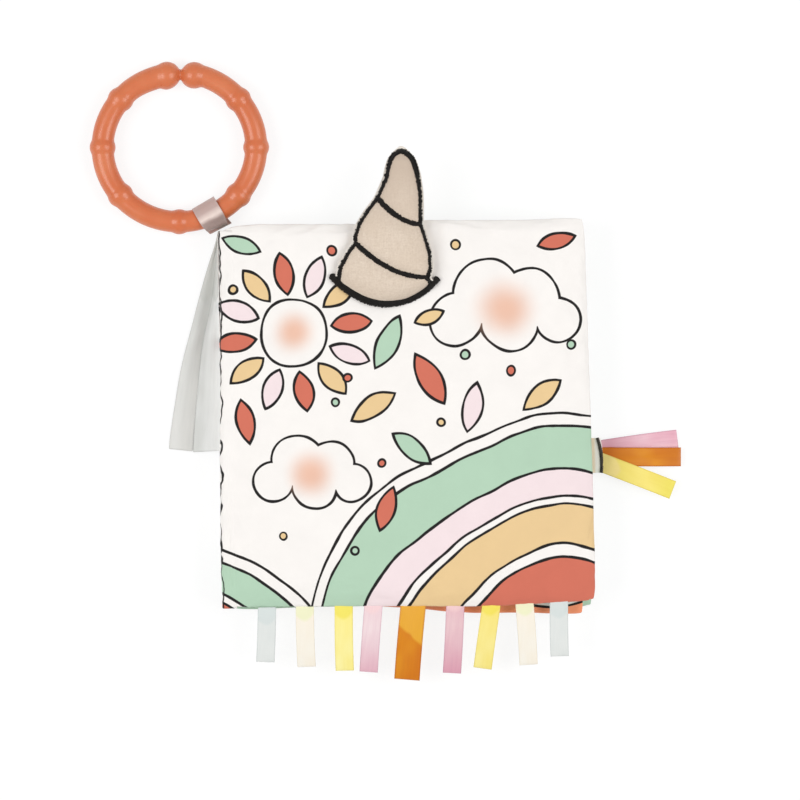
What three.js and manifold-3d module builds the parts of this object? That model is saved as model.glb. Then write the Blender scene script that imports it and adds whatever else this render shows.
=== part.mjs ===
// A soft baby activity book: two padded covers and a padded leaf on a cloth spine, a stuffed
// horn that flaps, folded satin loops along its edges, satin tails and a link ring.
// Lengths are in millimetres. The book lies on its rear cover: X runs from the spine to the
// fore-edge, Y from foot to head, and Z up. The origin is the middle of the rear cover's underside.

import * as THREE from 'three';
import { mergeVertices } from 'three/addons/utils/BufferGeometryUtils.js';
import Module from 'manifold-3d';

const wasm = await Module();
wasm.setup();

// Whole book
const bookWidth = 178.9;
const bookHeight = 186.9;
const clearance = 0.3;

// Cloths and films
const panelCloth = 0.8;
const crinkleFilm = 0.3;
const satin = 0.45;
const thread = 0.8;

// Padding of the pages, and how their seams run
const rearSwell = 5;
const leafSwell = 3.6;
const frontSwell = 4.6;
const pageSpace = 0.5;
const restFlat = 0.5;
const sideDraw = 0.8;
const cornerCut = 1.5;
const fillPower = 8;
const cornerPower = 20;
const gridCells = 12;
const hem = clearance / 2 + panelCloth;
const coverTrim = 1;
const filmTrim = 2;
const leafSpineTrim = 2;

// Spine strip and the hinge lines beside it
const spineBulge = 0.4;
const spineFootSpace = 0.5;
const spineEndSpace = 3.5;
const hingeSpace = 0.5;
const leafHingeSpace = 1.1;
const spineFace = -bookWidth / 2 + spineBulge;
const spineInside = spineFace + 2 * panelCloth + clearance;
const hingeX = spineInside + clearance / 2;

// Pages, from the bottom of the book to its top
const rearOverhang = 0.75;
const leafShort = 7;
const leafHeight = 183;
const leafShift = 1.8;
const leafDroop = 9.6;
const leafGutter = 2.8;
const rearBase = 0;
const rearSeam = rearBase + rearSwell - restFlat;
const leafBase = rearSeam + rearSwell + pageSpace;
const leafSeam = leafBase + leafSwell;
const frontBase = leafSeam + leafSwell + pageSpace;
const frontSeam = frontBase + frontSwell;
const frontTop = frontSeam + frontSwell;

const rearCover = {
  left: hingeX + hingeSpace,
  right: bookWidth / 2 + rearOverhang,
  foot: -bookHeight / 2 - rearOverhang,
  head: bookHeight / 2,
  gutter: 0,
  droop: 0,
  base: rearBase,
  seam: rearSeam,
  swell: rearSwell,
};

const innerLeaf = {
  left: hingeX + leafHingeSpace,
  right: bookWidth / 2 - leafShort,
  foot: leafShift - leafHeight / 2,
  head: leafShift + leafHeight / 2,
  gutter: leafGutter,
  droop: leafDroop,
  base: leafBase,
  seam: leafSeam,
  swell: leafSwell,
};

const frontCover = {
  left: hingeX + hingeSpace,
  right: bookWidth / 2,
  foot: -bookHeight / 2,
  head: bookHeight / 2,
  gutter: 0,
  droop: 0,
  base: frontBase,
  seam: frontSeam,
  swell: frontSwell,
};

// Squeaker, a shallow cup with a plunger that is pressed through the leaf
const squeakerRadius = 13;
const squeakerWall = 0.8;
const squeakerTravel = 1.2;
const squeakerVent = 2;
const squeakerLip = 0.9;
const squeakerSides = 24;
const squeakerX = 22;
const squeakerY = -18;

// Horn, in shares of its width and height from the lowest point of its sewn base
const hornWidth = 52.2;
const hornHeight = 74.5;
const hornAside = 8;
const hornOverlap = 39.05;
const hornX = -hornAside;
const hornFoot = bookHeight / 2 - hornOverlap;
const hornFrontSwell = 7;
const hornBackSwell = 2.5;
const hornColumns = 8;
const hornEdgeThread = 1.5;
const hornEdgeInset = 0.6;
const hornBaseThread = 3.2;
const hornBaseSag = 10.2;
const hornBaseSteps = 14;
const hornRowShares = [
  { left: [-0.43, 0.19], right: [0.425, 0.15], sag: 1, front: 0, back: 0 },
  { left: [-0.395, 0.26], right: [0.415, 0.158], sag: 0.8, front: 0.62, back: 0.7 },
  { left: [-0.315, 0.34], right: [0.405, 0.166], sag: 0.56, front: 0.78, back: 1 },
  { left: [-0.248, 0.388], right: [0.398, 0.176], sag: 0.33, front: 0.56, back: 1 },
  { left: [-0.248, 0.444], right: [0.43, 0.22], sag: 0.3, front: 0.9, back: 1 },
  { left: [-0.21, 0.52], right: [0.427, 0.31], sag: 0.3, front: 1, back: 1 },
  { left: [-0.14, 0.596], right: [0.395, 0.397], sag: 0.3, front: 0.92, back: 1 },
  { left: [-0.042, 0.684], right: [0.348, 0.505], sag: 0.33, front: 0.6, back: 1 },
  { left: [-0.002, 0.753], right: [0.352, 0.605], sag: 0.25, front: 0.84, back: 1 },
  { left: [0.038, 0.82], right: [0.352, 0.72], sag: 0.17, front: 0.84, back: 1 },
  { left: [0.055, 0.874], right: [0.333, 0.827], sag: 0.09, front: 0.72, back: 0.9 },
  { left: [0.08, 0.928], right: [0.298, 0.915], sag: 0.02, front: 0.52, back: 0.7 },
  { left: [0.142, 0.983], right: [0.226, 0.984], sag: -0.12, front: 0, back: 0 },
];
const hornLowerBandRow = 3;
const hornUpperBandRow = 7;
const hornBandRows = 0.3;
const hornTipRows = 0.12;
const hornTipShares = [0.2, 0.5, 0.8];
const hornBaseBandShares = [
  [-0.501, 0.186], [-0.4, 0.128], [-0.202, 0.04], [0, 0], [0.201, 0.018], [0.364, 0.072], [0.5, 0.155],
];

// Folded satin loops of the fringe and of the side tail
const loopSeam = 2;
const loopSlot = 0.5;
const loopSteps = 5;
const foldAngles = [-45, 0, 45];
const narrowRibbon = 8.9;
const wideRibbon = 12.4;
const fringeLength = 36.4;
const fringeSag = 7;
const fringeSpace = 0.4;
const tailLength = 37.4;
const tailSag = 1.6;

const fringeRowShares = [
  { name: 'fringe_1_grey', across: -0.386, reach: 0.7, lean: -3.6 },
  { name: 'fringe_2_cream', across: -0.283, reach: 0.782, lean: 0.6 },
  { name: 'fringe_3_yellow', across: -0.177, reach: 0.85, lean: -0.2 },
  { name: 'fringe_4_pink', across: -0.096, reach: 0.882, lean: -5.4 },
  { name: 'fringe_5_orange', across: 0.0125, reach: 1, lean: -6 },
  { name: 'fringe_6_pink', across: 0.127, reach: 0.921, lean: -4.3 },
  { name: 'fringe_7_yellow', across: 0.226, reach: 0.874, lean: -9.1 },
  { name: 'fringe_8_cream', across: 0.315, reach: 0.824, lean: 2.4 },
  { name: 'fringe_9_grey', across: 0.409, reach: 0.712, lean: 0 },
];

// Side tail: a cloth tab in the rear cover's fore-edge seam, and three loops sewn to it
const tabWidth = 17.3;
const tabLength = 6.1;
const tabCloth = 1.8;
const tabBow = 1.2;
const tabShare = -0.1208;
const tailSpace = 0.4;
const tailPitch = 2 * satin + loopSlot + clearance;
const tailRowShares = [
  { name: 'tail_loop_pink', across: 0.17, reach: 0.952, lean: 7.4, layer: -1 },
  { name: 'tail_loop_orange', across: -0.04, reach: 1, lean: -1.4, layer: 0 },
  { name: 'tail_loop_yellow', across: -0.222, reach: 0.955, lean: -22.3, layer: 1 },
];

// Link ring with its grip knobs and two end balls, and the satin loop that holds it
const ringRadius = 37;
const ringTube = 4.85;
const ringKnob = 6;
const ringBall = 6.3;
const ringBallRadius = 36.2;
const ringAside = 16.85;
const ringAbove = 38.25;
const ringX = -bookWidth / 2 - ringAside;
const ringY = bookHeight / 2 + ringAbove;
const ringSides = 10;
const ringSteps = 60;
const ringRise = ringBall + clearance / 2;
const ringGapAngle = 87.8;
const ringGap = Math.asin((ringBall + clearance / 2) / ringBallRadius);
const ringKnobAngles = [0, 40, 140, 180, 220, 270, 320];
const knobAcross = 10;
const knobAround = 7;
const holderAngle = -63.4;
const holderWidth = 12.4;
const holderRootWidth = 5;
const holderRoot = 44.5;
const holderRootRise = 4.3;
const holderFold = 8;
const holderSlack = 0.75;
const holderCloth = 0.6;
const holderPoints = 24;

// Satin tails beside the spine, from the corner seam down to their cut ends
const tailsLength = 107.5;
const tailsWidth = 25.4;
const tailsCloth = 0.6;
const tailsRight = -bookWidth / 2 - panelCloth / 2;
const tailsBelow = 2.25;
const tailsHead = bookHeight / 2 - tailsBelow;
const tailsRootRise = 2.4;
const tailsRootShare = 0.13;
const tailsRest = 0.1;
const tailsFold = 1.4;
const tailsSplit = 0.4;
const tailsColumns = 4;
const tailsAlongShares = [0, 0.02, 0.1, 0.2, 0.3, 0.4, 0.5, 0.6, 0.7, 0.8, 0.9, 1];
const tailsInnerShares = [-0.09, 0, 0, 0, 0, 0, 0, 0, 0, 0, 0, 0.04];
const tailsMiddleShares = [0.02, 0.055, 0.064, 0.09, 0.115, 0.225, 0.335, 0.39, 0.434, 0.47, 0.507, 0.54];
const tailsOuterShares = [0.11, 0.115, 0.128, 0.21, 0.34, 0.455, 0.575, 0.71, 0.79, 0.865, 0.94, 1];

// Colours of the cloths, threads and plastics
const printedCloth = { color: 0xfaf6f1, roughness: 0.85, metalness: 0 };
const coralCloth = { color: 0xd67560, roughness: 0.85, metalness: 0 };
const mintCloth = { color: 0xb7d5bc, roughness: 0.85, metalness: 0 };
const wool = { color: 0xf4f2ee, roughness: 0.95, metalness: 0 };
const clearFilm = { color: 0xdfe6ea, roughness: 0.2, metalness: 0 };
const squeakerPlastic = { color: 0xeceae4, roughness: 0.45, metalness: 0 };
const linen = { color: 0xdecdbb, roughness: 0.9, metalness: 0 };
const blackThread = { color: 0x1e1c1c, roughness: 0.6, metalness: 0 };
const ochreCloth = { color: 0xeccc98, roughness: 0.85, metalness: 0 };
const ringPlastic = { color: 0xda754e, roughness: 0.3, metalness: 0 };
const silverSatin = { color: 0xc8bbb9, roughness: 0.35, metalness: 0 };
const paleSatin = { color: 0xd8dcdc, roughness: 0.35, metalness: 0 };
const satins = {
  grey: { color: 0xe1e6e6, roughness: 0.35, metalness: 0 },
  cream: { color: 0xfcf2e6, roughness: 0.35, metalness: 0 },
  yellow: { color: 0xf7e470, roughness: 0.35, metalness: 0 },
  pink: { color: 0xebbed4, roughness: 0.35, metalness: 0 },
  orange: { color: 0xd78223, roughness: 0.35, metalness: 0 },
};

const group = new THREE.Group();

function addPiece(name, geometry, finish) {
  const mesh = new THREE.Mesh(geometry, new THREE.MeshStandardMaterial(finish));
  mesh.name = name;
  group.add(mesh);
  return mesh;
}

function degrees(angle) {
  return THREE.MathUtils.degToRad(angle);
}

// A closed slab over a grid: the unit box's corners are moved to where place puts them
function slab(columns, rows, place) {
  const geometry = new THREE.BoxGeometry(1, 1, 1, columns, rows, 1);
  const corners = geometry.attributes.position;
  for (let i = 0; i < corners.count; i += 1) {
    const column = (corners.getX(i) + 0.5) * columns;
    const row = (corners.getY(i) + 0.5) * rows;
    const point = place(column, row, corners.getZ(i) > 0);
    corners.setXYZ(i, point.x, point.y, point.z);
  }
  return geometry;
}

// Where a page's grid lies in plan, and how full its wadding is there, from 0 to 1
function pageAt(page, column, row) {
  const u = Math.sin((column / gridCells - 0.5) * Math.PI);
  const v = Math.sin((row / gridCells - 0.5) * Math.PI);
  const width = page.right - page.left;
  const height = page.head - page.foot;
  const cut = cornerCut * Math.abs(u * v) ** cornerPower;
  const drawnX = Math.max(u, 0) * sideDraw * (1 - v * v) + Math.sign(u) * cut;
  const drawnY = v * sideDraw * (1 - u * u) + Math.sign(v) * cut;
  const x = page.left + (1 + u) * width / 2 - drawnX;
  const drooped = page.droop * (x - page.left) / width;
  const y = page.foot + (1 + v) * height / 2 - drawnY - drooped;
  const padded = Math.max(1 - (1 - u) * width / (width - page.gutter), -1);
  const fill = Math.sqrt((1 - Math.abs(padded) ** fillPower) * (1 - Math.abs(v) ** fillPower));
  return { x, y, fill };
}

// Height of a page panel's outer and inner face over the seam
function faceHeight(page, fill) {
  return hem + (page.swell - hem) * fill;
}

function liningHeight(page, fill) {
  return clearance / 2 + (page.swell - panelCloth - clearance / 2) * fill;
}

// A patch of a page between two surfaces, left short of the seams by trimmed cells
function pagePatch(page, trim, low, high) {
  const columns = gridCells - trim.left - trim.right;
  const rows = gridCells - 2 * trim.ends;
  return slab(columns, rows, (column, row, top) => {
    const { x, y, fill } = pageAt(page, column + trim.left, row + trim.ends);
    return { x, y, z: top ? high(fill) : low(fill) };
  });
}

function upperPanel(page) {
  return pagePatch(
    page,
    { left: 0, right: 0, ends: 0 },
    (fill) => page.seam + liningHeight(page, fill),
    (fill) => page.seam + faceHeight(page, fill),
  );
}

function lowerPanel(page) {
  return pagePatch(
    page,
    { left: 0, right: 0, ends: 0 },
    (fill) => Math.max(page.base, page.seam - faceHeight(page, fill)),
    (fill) => Math.max(page.base + panelCloth, page.seam - liningHeight(page, fill)),
  );
}

function wadding(page, trim, headroom) {
  return pagePatch(
    page,
    trim,
    (fill) => Math.max(page.base + panelCloth, page.seam - liningHeight(page, fill)) + clearance,
    (fill) => page.seam + liningHeight(page, fill) - clearance - headroom,
  );
}

function crinkleSheet(page) {
  return pagePatch(
    page,
    { left: filmTrim, right: filmTrim, ends: filmTrim },
    (fill) => page.seam + liningHeight(page, fill) - clearance - crinkleFilm,
    (fill) => page.seam + liningHeight(page, fill) - clearance,
  );
}

// Boolean cuts and joins
function toManifold(geometry) {
  const bare = geometry.clone();
  bare.deleteAttribute('normal');
  bare.deleteAttribute('uv');
  const merged = mergeVertices(bare);
  return new wasm.Manifold(new wasm.Mesh({
    numProp: 3,
    vertProperties: new Float32Array(merged.attributes.position.array),
    triVerts: new Uint32Array(merged.index.array),
  }));
}

function toGeometry(solid) {
  const mesh = solid.getMesh();
  const geometry = new THREE.BufferGeometry();
  geometry.setAttribute('position', new THREE.BufferAttribute(mesh.vertProperties, 3));
  geometry.setIndex(new THREE.BufferAttribute(mesh.triVerts, 1));
  geometry.computeVertexNormals();
  return geometry;
}

// Covers and leaf
function addPages() {
  const aroundCover = { left: coverTrim, right: coverTrim, ends: coverTrim };
  const aroundLeaf = { left: leafSpineTrim, right: coverTrim, ends: coverTrim };
  const filmRoom = crinkleFilm + clearance;
  addPiece('rear_outer_panel', lowerPanel(rearCover), printedCloth);
  addPiece('rear_wadding', wadding(rearCover, aroundCover, filmRoom), wool);
  addPiece('rear_crinkle_film', crinkleSheet(rearCover), clearFilm);
  addPiece('rear_inner_panel', upperPanel(rearCover), mintCloth);
  addPiece('leaf_rear_panel', lowerPanel(innerLeaf), printedCloth);
  addPiece('leaf_front_panel', upperPanel(innerLeaf), coralCloth);
  addPiece('front_inner_panel', lowerPanel(frontCover), mintCloth);
  addPiece('front_wadding', wadding(frontCover, aroundCover, filmRoom), wool);
  addPiece('front_crinkle_film', crinkleSheet(frontCover), clearFilm);
  addPiece('front_outer_panel', upperPanel(frontCover), printedCloth);

  const pocket = new THREE.CylinderGeometry(
    squeakerRadius + clearance,
    squeakerRadius + clearance,
    4 * leafSwell,
    squeakerSides,
  );
  pocket.rotateX(Math.PI / 2);
  pocket.translate(squeakerX, squeakerY, leafSeam);
  const cored = toManifold(wadding(innerLeaf, aroundLeaf, 0)).subtract(toManifold(pocket));
  addPiece('leaf_wadding', toGeometry(cored), wool);
}

// Squeaker in the leaf's wadding
function turned(profile) {
  const points = profile.map(([radius, height]) => new THREE.Vector2(radius, height));
  const geometry = new THREE.LatheGeometry(points, squeakerSides);
  geometry.rotateX(Math.PI / 2);
  return geometry;
}

function addSqueaker() {
  const reach = leafSwell - panelCloth - clearance;
  const bore = squeakerRadius - squeakerWall;
  const cup = turned([
    [squeakerVent, -reach],
    [squeakerRadius, -reach],
    [squeakerRadius, squeakerLip],
    [bore, squeakerLip],
    [bore, squeakerWall - reach],
    [squeakerVent, squeakerWall - reach],
    [squeakerVent, -reach],
  ]);
  const skirt = bore - clearance;
  const plungerFoot = squeakerWall + squeakerTravel + clearance / 2 - reach;
  const plunger = turned([
    [0, reach - squeakerWall],
    [skirt - squeakerWall, reach - squeakerWall],
    [skirt - squeakerWall, plungerFoot],
    [skirt, plungerFoot],
    [skirt, reach],
    [0, reach],
  ]);
  addPiece('squeaker_cup', cup, squeakerPlastic).position.set(squeakerX, squeakerY, leafSeam);
  addPiece('squeaker_plunger', plunger, squeakerPlastic).position.set(squeakerX, squeakerY, leafSeam);
}

// Spine: a bowed strip and its lining, drawn in section and run along the book
function spineStrip(outerFace) {
  const low = rearSeam + spineFootSpace;
  const high = frontSeam - clearance;
  const middle = (low + high) / 2;
  const innerFace = outerFace + panelCloth;
  const section = new THREE.Shape();
  section.moveTo(innerFace, low);
  section.quadraticCurveTo(innerFace - 2 * spineBulge, middle, innerFace, high);
  section.lineTo(outerFace, high);
  section.quadraticCurveTo(outerFace - 2 * spineBulge, middle, outerFace, low);
  section.closePath();
  const depth = bookHeight - 2 * spineEndSpace;
  const geometry = new THREE.ExtrudeGeometry(section, { depth, curveSegments: 6, bevelEnabled: false });
  geometry.rotateX(Math.PI / 2);
  geometry.translate(0, depth / 2, 0);
  return geometry;
}

function addSpine() {
  addPiece('spine_outer_strip', spineStrip(spineFace), printedCloth);
  addPiece('spine_lining_strip', spineStrip(spineFace + panelCloth + clearance), mintCloth);
}

// Horn: rows run from its sewn base to its tip, each a sagging line from edge to edge
function hornRow(row) {
  const below = Math.min(Math.floor(row), hornRowShares.length - 2);
  const blend = row - below;
  const a = hornRowShares[below];
  const b = hornRowShares[below + 1];
  const mix = (from, to) => from + (to - from) * blend;
  return {
    leftX: mix(a.left[0], b.left[0]) * hornWidth,
    leftY: mix(a.left[1], b.left[1]) * hornHeight,
    rightX: mix(a.right[0], b.right[0]) * hornWidth,
    rightY: mix(a.right[1], b.right[1]) * hornHeight,
    sag: mix(a.sag, b.sag) * hornBaseSag,
    front: mix(a.front, b.front) * hornFrontSwell,
    back: mix(a.back, b.back) * hornBackSwell,
  };
}

function hornAt(row, share) {
  const line = hornRow(row);
  const round = Math.sqrt(1 - (2 * share - 1) ** 2);
  const seam = frontTop + clearance + hem + line.back;
  return {
    x: hornX + line.leftX + (line.rightX - line.leftX) * share,
    y: hornFoot + line.leftY + (line.rightY - line.leftY) * share - line.sag * round * round,
    front: seam + hem + line.front * round,
    back: seam - hem - line.back * round,
  };
}

function hornPatch(trimRows, trimColumns, low, high) {
  const columns = hornColumns - 2 * trimColumns;
  const rows = hornRowShares.length - 1 - 2 * trimRows;
  return slab(columns, rows, (column, row, top) => {
    const share = (1 - Math.cos((column + trimColumns) / hornColumns * Math.PI)) / 2;
    const point = hornAt(row + trimRows, share);
    return { x: point.x, y: point.y, z: top ? high(point) : low(point) };
  });
}

// Satin stitching: a strip over a list of stations, each the strip's inner and outer side there
function stitching(stations) {
  return slab(stations.length - 1, 1, (column, row, top) => {
    const { x, y, z } = stations[Math.round(column)][Math.round(row)];
    return { x, y, z: z + clearance + (top ? thread : 0) };
  });
}

// A place on the horn's front, so far in from its left or right edge along a row
function hornFrontAt(row, inset, fromRight) {
  const line = hornRow(row);
  const share = inset / (line.rightX - line.leftX);
  const point = hornAt(row, fromRight ? 1 - share : share);
  return { x: point.x, y: point.y, z: point.front };
}

function bandStations(bandRow) {
  const line = hornRow(bandRow);
  const width = line.rightX - line.leftX;
  const start = hornEdgeInset + hornEdgeThread + clearance;
  const stations = [];
  for (let i = 0; i <= hornColumns; i += 1) {
    const inset = start + (width - 2 * start) * (1 - Math.cos(i / hornColumns * Math.PI)) / 2;
    const share = inset / width;
    stations.push([bandRow - hornBandRows, bandRow + hornBandRows].map((row) => {
      const point = hornAt(row, share);
      return { x: point.x, y: point.y, z: point.front };
    }));
  }
  return stations;
}

function edgeStations() {
  const last = hornRowShares.length - 1;
  const inner = hornEdgeInset + hornEdgeThread;
  const side = (row, right) => [hornFrontAt(row, inner, right), hornFrontAt(row, hornEdgeInset, right)];
  const rows = [hornBandRows];
  for (let row = 1; row < last; row += 1) {
    rows.push(row);
  }
  const over = (share) => [last - 2 * hornBandRows, last - hornTipRows].map((row) => {
    const point = hornAt(row, share);
    return { x: point.x, y: point.y, z: point.front };
  });
  return [
    ...rows.map((row) => side(row, false)),
    ...hornTipShares.map(over),
    ...rows.toReversed().map((row) => side(row, true)),
  ];
}

// The stitched line that sews the horn's base to the cover
function baseStations() {
  const points = hornBaseBandShares.map(([across, along]) => (
    new THREE.Vector3(hornX + across * hornWidth, hornFoot + along * hornHeight, frontTop)
  ));
  const path = new THREE.CatmullRomCurve3(points);
  const stations = [];
  for (let i = 0; i <= hornBaseSteps; i += 1) {
    const middle = path.getPoint(i / hornBaseSteps);
    const along = path.getTangent(i / hornBaseSteps);
    const across = new THREE.Vector3(-along.y, along.x, 0).setLength(hornBaseThread / 2);
    stations.push([middle.clone().sub(across), middle.clone().add(across)]);
  }
  return stations;
}

function addHorn() {
  const filling = hornPatch(
    1,
    1,
    (point) => point.back + panelCloth + clearance,
    (point) => point.front - panelCloth - 2 * clearance,
  );
  addPiece('horn_back_panel', hornPatch(0, 0, (p) => p.back, (p) => p.back + panelCloth), linen);
  addPiece('horn_filling', filling, wool);
  addPiece('horn_front_panel', hornPatch(0, 0, (p) => p.front - panelCloth, (p) => p.front), linen);
  addPiece('horn_lower_stitching', stitching(bandStations(hornLowerBandRow)), blackThread);
  addPiece('horn_upper_stitching', stitching(bandStations(hornUpperBandRow)), blackThread);
  addPiece('horn_edge_stitching', stitching(edgeStations()), blackThread);
  addPiece('horn_base_stitching', stitching(baseStations()), blackThread);
}

// A folded satin loop: two plies side by side, joined by the fold at the far end. It runs along
// +X from its sewn end, with its width along Y, and sags as it goes
function satinLoop(length, width, sag) {
  const reach = length - satin - loopSlot / 2;
  const drop = (along) => -sag * (along / length) ** 2;
  const steps = [...Array(loopSteps + 1).keys()].map((i) => i / loopSteps);
  const outline = (from, half) => {
    const run = steps.map((share) => from + (reach - from) * share);
    const fold = foldAngles.map((angle) => new THREE.Vector2(
      reach + half * Math.cos(degrees(angle)),
      drop(reach) + half * Math.sin(degrees(angle)),
    ));
    return [
      ...run.map((along) => new THREE.Vector2(along, drop(along) - half)),
      ...fold,
      ...run.toReversed().map((along) => new THREE.Vector2(along, drop(along) + half)),
    ];
  };
  const section = new THREE.Shape(outline(0, satin + loopSlot / 2));
  section.holes.push(new THREE.Path(outline(loopSeam, loopSlot / 2)));
  const geometry = new THREE.ExtrudeGeometry(section, { depth: width, steps: 1, bevelEnabled: false });
  geometry.rotateX(Math.PI / 2);
  geometry.translate(0, width / 2, 0);
  return geometry;
}

function satinOf(name) {
  return satins[name.split('_').at(-1)];
}

// Fringe: nine loops sewn in the foot seam of the front cover
function addFringe() {
  for (const { name, across, reach, lean } of fringeRowShares) {
    const width = reach < 1 ? narrowRibbon : wideRibbon;
    const loop = addPiece(name, satinLoop(reach * fringeLength, width, reach * fringeSag), satinOf(name));
    const u = 2 * across;
    const edge = frontCover.foot + sideDraw * (1 - u * u);
    const turn = width / 2 * Math.sin(Math.abs(degrees(lean)));
    loop.position.set(across * bookWidth, edge - fringeSpace - turn, frontSeam);
    loop.rotation.z = degrees(lean) - Math.PI / 2;
  }
}

// Side tail
function addTail() {
  const left = rearCover.right - sideDraw + 2 * clearance;
  const right = left + tabLength;
  const middle = tabShare * bookHeight;
  const low = middle - tabWidth / 2;
  const high = middle + tabWidth / 2;
  const outline = new THREE.Shape();
  outline.moveTo(left, low);
  outline.lineTo(right - tabBow, low);
  outline.quadraticCurveTo(right + tabBow, middle, right - tabBow, high);
  outline.lineTo(left, high);
  outline.closePath();
  const tab = new THREE.ExtrudeGeometry(outline, { depth: tabCloth, curveSegments: 8, bevelEnabled: false });
  addPiece('tail_tab', tab, ochreCloth).position.z = rearSeam - tabCloth / 2;

  for (const { name, across, reach, lean, layer } of tailRowShares) {
    const loop = addPiece(name, satinLoop(reach * tailLength, narrowRibbon, tailSag), satinOf(name));
    const turn = narrowRibbon / 2 * Math.sin(Math.abs(degrees(lean)));
    const along = right + tailSpace + turn;
    loop.position.set(along, middle + across * tabWidth, rearSeam + layer * tailPitch);
    loop.rotation.z = degrees(lean);
  }
}

// Link ring: an open hoop whose ends are two balls, with grip knobs along it
class RingArc extends THREE.Curve {
  getPoint(t, target = new THREE.Vector3()) {
    const angle = degrees(ringGapAngle) + ringGap + t * (2 * Math.PI - 2 * ringGap);
    return target.set(ringRadius * Math.cos(angle), ringRadius * Math.sin(angle), 0);
  }
}

function ringBead(radius, fromCentre, angle) {
  const bead = new THREE.SphereGeometry(radius, knobAcross, knobAround);
  bead.translate(fromCentre * Math.cos(angle), fromCentre * Math.sin(angle), 0);
  return toManifold(bead);
}

function addRing() {
  const section = new THREE.Shape();
  section.absarc(0, 0, ringTube, 0, 2 * Math.PI);
  const hoop = new THREE.ExtrudeGeometry(section, {
    steps: ringSteps,
    curveSegments: ringSides / 2,
    bevelEnabled: false,
    extrudePath: new RingArc(),
  });
  let ring = toManifold(hoop);
  for (const angle of ringKnobAngles) {
    ring = ring.add(ringBead(ringKnob, ringRadius, degrees(angle)));
  }
  for (const side of [-1, 1]) {
    ring = ring.add(ringBead(ringBall, ringBallRadius, degrees(ringGapAngle) + side * ringGap));
  }
  addPiece('link_ring', toGeometry(ring), ringPlastic).position.set(ringX, ringY, ringRise);
}

// Satin holder: a loop of ribbon round the ring's tube, its two plies sewn in the cover's corner
function addHolder() {
  const bore = ringTube + holderSlack;
  const round = (wall) => [...Array(holderPoints).keys()].map((i) => {
    const angle = 2 * Math.PI * i / holderPoints;
    const pulled = ((1 - Math.cos(angle)) / 2) ** 3 * (holderFold - bore - holderCloth);
    const radius = bore + wall + pulled;
    return new THREE.Vector2(ringRadius + radius * Math.cos(angle), radius * Math.sin(angle));
  });
  const section = new THREE.Shape(round(holderCloth));
  section.holes.push(new THREE.Path(round(0)));
  const band = new THREE.ExtrudeGeometry(section, { depth: holderWidth, steps: 1, bevelEnabled: false });
  band.translate(0, 0, -holderWidth / 2);
  const rootLength = holderRoot - ringRadius - bore - holderCloth / 2;
  const root = new THREE.BoxGeometry(rootLength, 2 * holderCloth, holderRootWidth);
  root.translate(holderRoot - rootLength / 2, holderRootRise - ringRise, 0);
  const holder = toGeometry(toManifold(band).add(toManifold(root)));
  holder.rotateX(Math.PI / 2);
  const mesh = addPiece('ring_holder', holder, silverSatin);
  mesh.position.set(ringX, ringY, ringRise);
  mesh.rotation.z = degrees(holderAngle);
}

// Satin tails, lying beside the spine from the corner seam
function satinTail(innerShares, outerShares) {
  const rows = tailsAlongShares.length - 1;
  return slab(tailsColumns, rows, (column, row, top) => {
    const station = rows - Math.round(row);
    const along = tailsAlongShares[station];
    const across = column / tailsColumns;
    const share = outerShares[station] + (innerShares[station] - outerShares[station]) * across;
    const rise = Math.max(1 - along / tailsRootShare, 0) ** 2 * tailsRootRise;
    const fold = tailsFold * Math.sin(across * Math.PI) * Math.min(along / tailsRootShare, 1);
    return {
      x: tailsRight - share * tailsWidth,
      y: tailsHead - tailsLength * along,
      z: tailsRest + rise + fold + (top ? tailsCloth : 0),
    };
  });
}

function addTails() {
  const split = tailsSplit / tailsWidth;
  const middleInner = tailsMiddleShares.map((share) => share - split / 2);
  const middleOuter = tailsMiddleShares.map((share) => share + split / 2);
  addPiece('corner_tail_left', satinTail(middleOuter, tailsOuterShares), paleSatin);
  addPiece('corner_tail_right', satinTail(tailsInnerShares, middleInner), paleSatin);
}

addPages();
addSqueaker();
addSpine();
addHorn();
addFringe();
addTail();
addRing();
addHolder();
addTails();

export default group;
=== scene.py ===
"""Dresses the soft activity book: padded pages, stuffed horn, satin loops, spine cloth and link ring.

Lengths are in millimetres, in the frame of the CAD model, and meshes are in metres. X runs from the
spine to the fore-edge, Y from foot to head and Z up. Angles in the tables are in degrees.
"""

import math

import bmesh
import bpy
import numpy as np
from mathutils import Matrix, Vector
from mathutils.bvhtree import BVHTree


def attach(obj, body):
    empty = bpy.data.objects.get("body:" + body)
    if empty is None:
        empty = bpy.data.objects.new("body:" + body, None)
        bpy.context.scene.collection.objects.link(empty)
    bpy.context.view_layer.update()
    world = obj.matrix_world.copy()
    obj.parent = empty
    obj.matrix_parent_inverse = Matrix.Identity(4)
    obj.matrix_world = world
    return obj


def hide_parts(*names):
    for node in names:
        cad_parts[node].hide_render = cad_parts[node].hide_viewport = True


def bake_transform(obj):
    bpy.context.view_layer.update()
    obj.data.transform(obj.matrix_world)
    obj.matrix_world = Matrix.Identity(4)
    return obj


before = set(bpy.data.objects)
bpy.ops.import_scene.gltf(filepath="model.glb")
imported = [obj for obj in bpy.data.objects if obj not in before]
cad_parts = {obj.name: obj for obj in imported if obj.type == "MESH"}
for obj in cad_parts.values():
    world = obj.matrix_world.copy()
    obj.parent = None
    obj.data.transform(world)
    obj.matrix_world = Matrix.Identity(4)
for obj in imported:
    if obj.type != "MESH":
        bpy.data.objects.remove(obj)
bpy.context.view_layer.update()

MM = 0.001

# Sizes shared with the CAD model
BOOK_WIDTH = 178.9
BOOK_HEIGHT = 186.9
SPINE_EDGE = -86.5
HEAD = BOOK_HEIGHT / 2
FORE_EDGE = BOOK_WIDTH / 2
REAR_SEAM = 4.5
LEAF_SEAM = 13.6
FRONT_SEAM = 22.3
FRONT_TOP = 26.9
BOOK_TOP = 27.0

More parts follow.
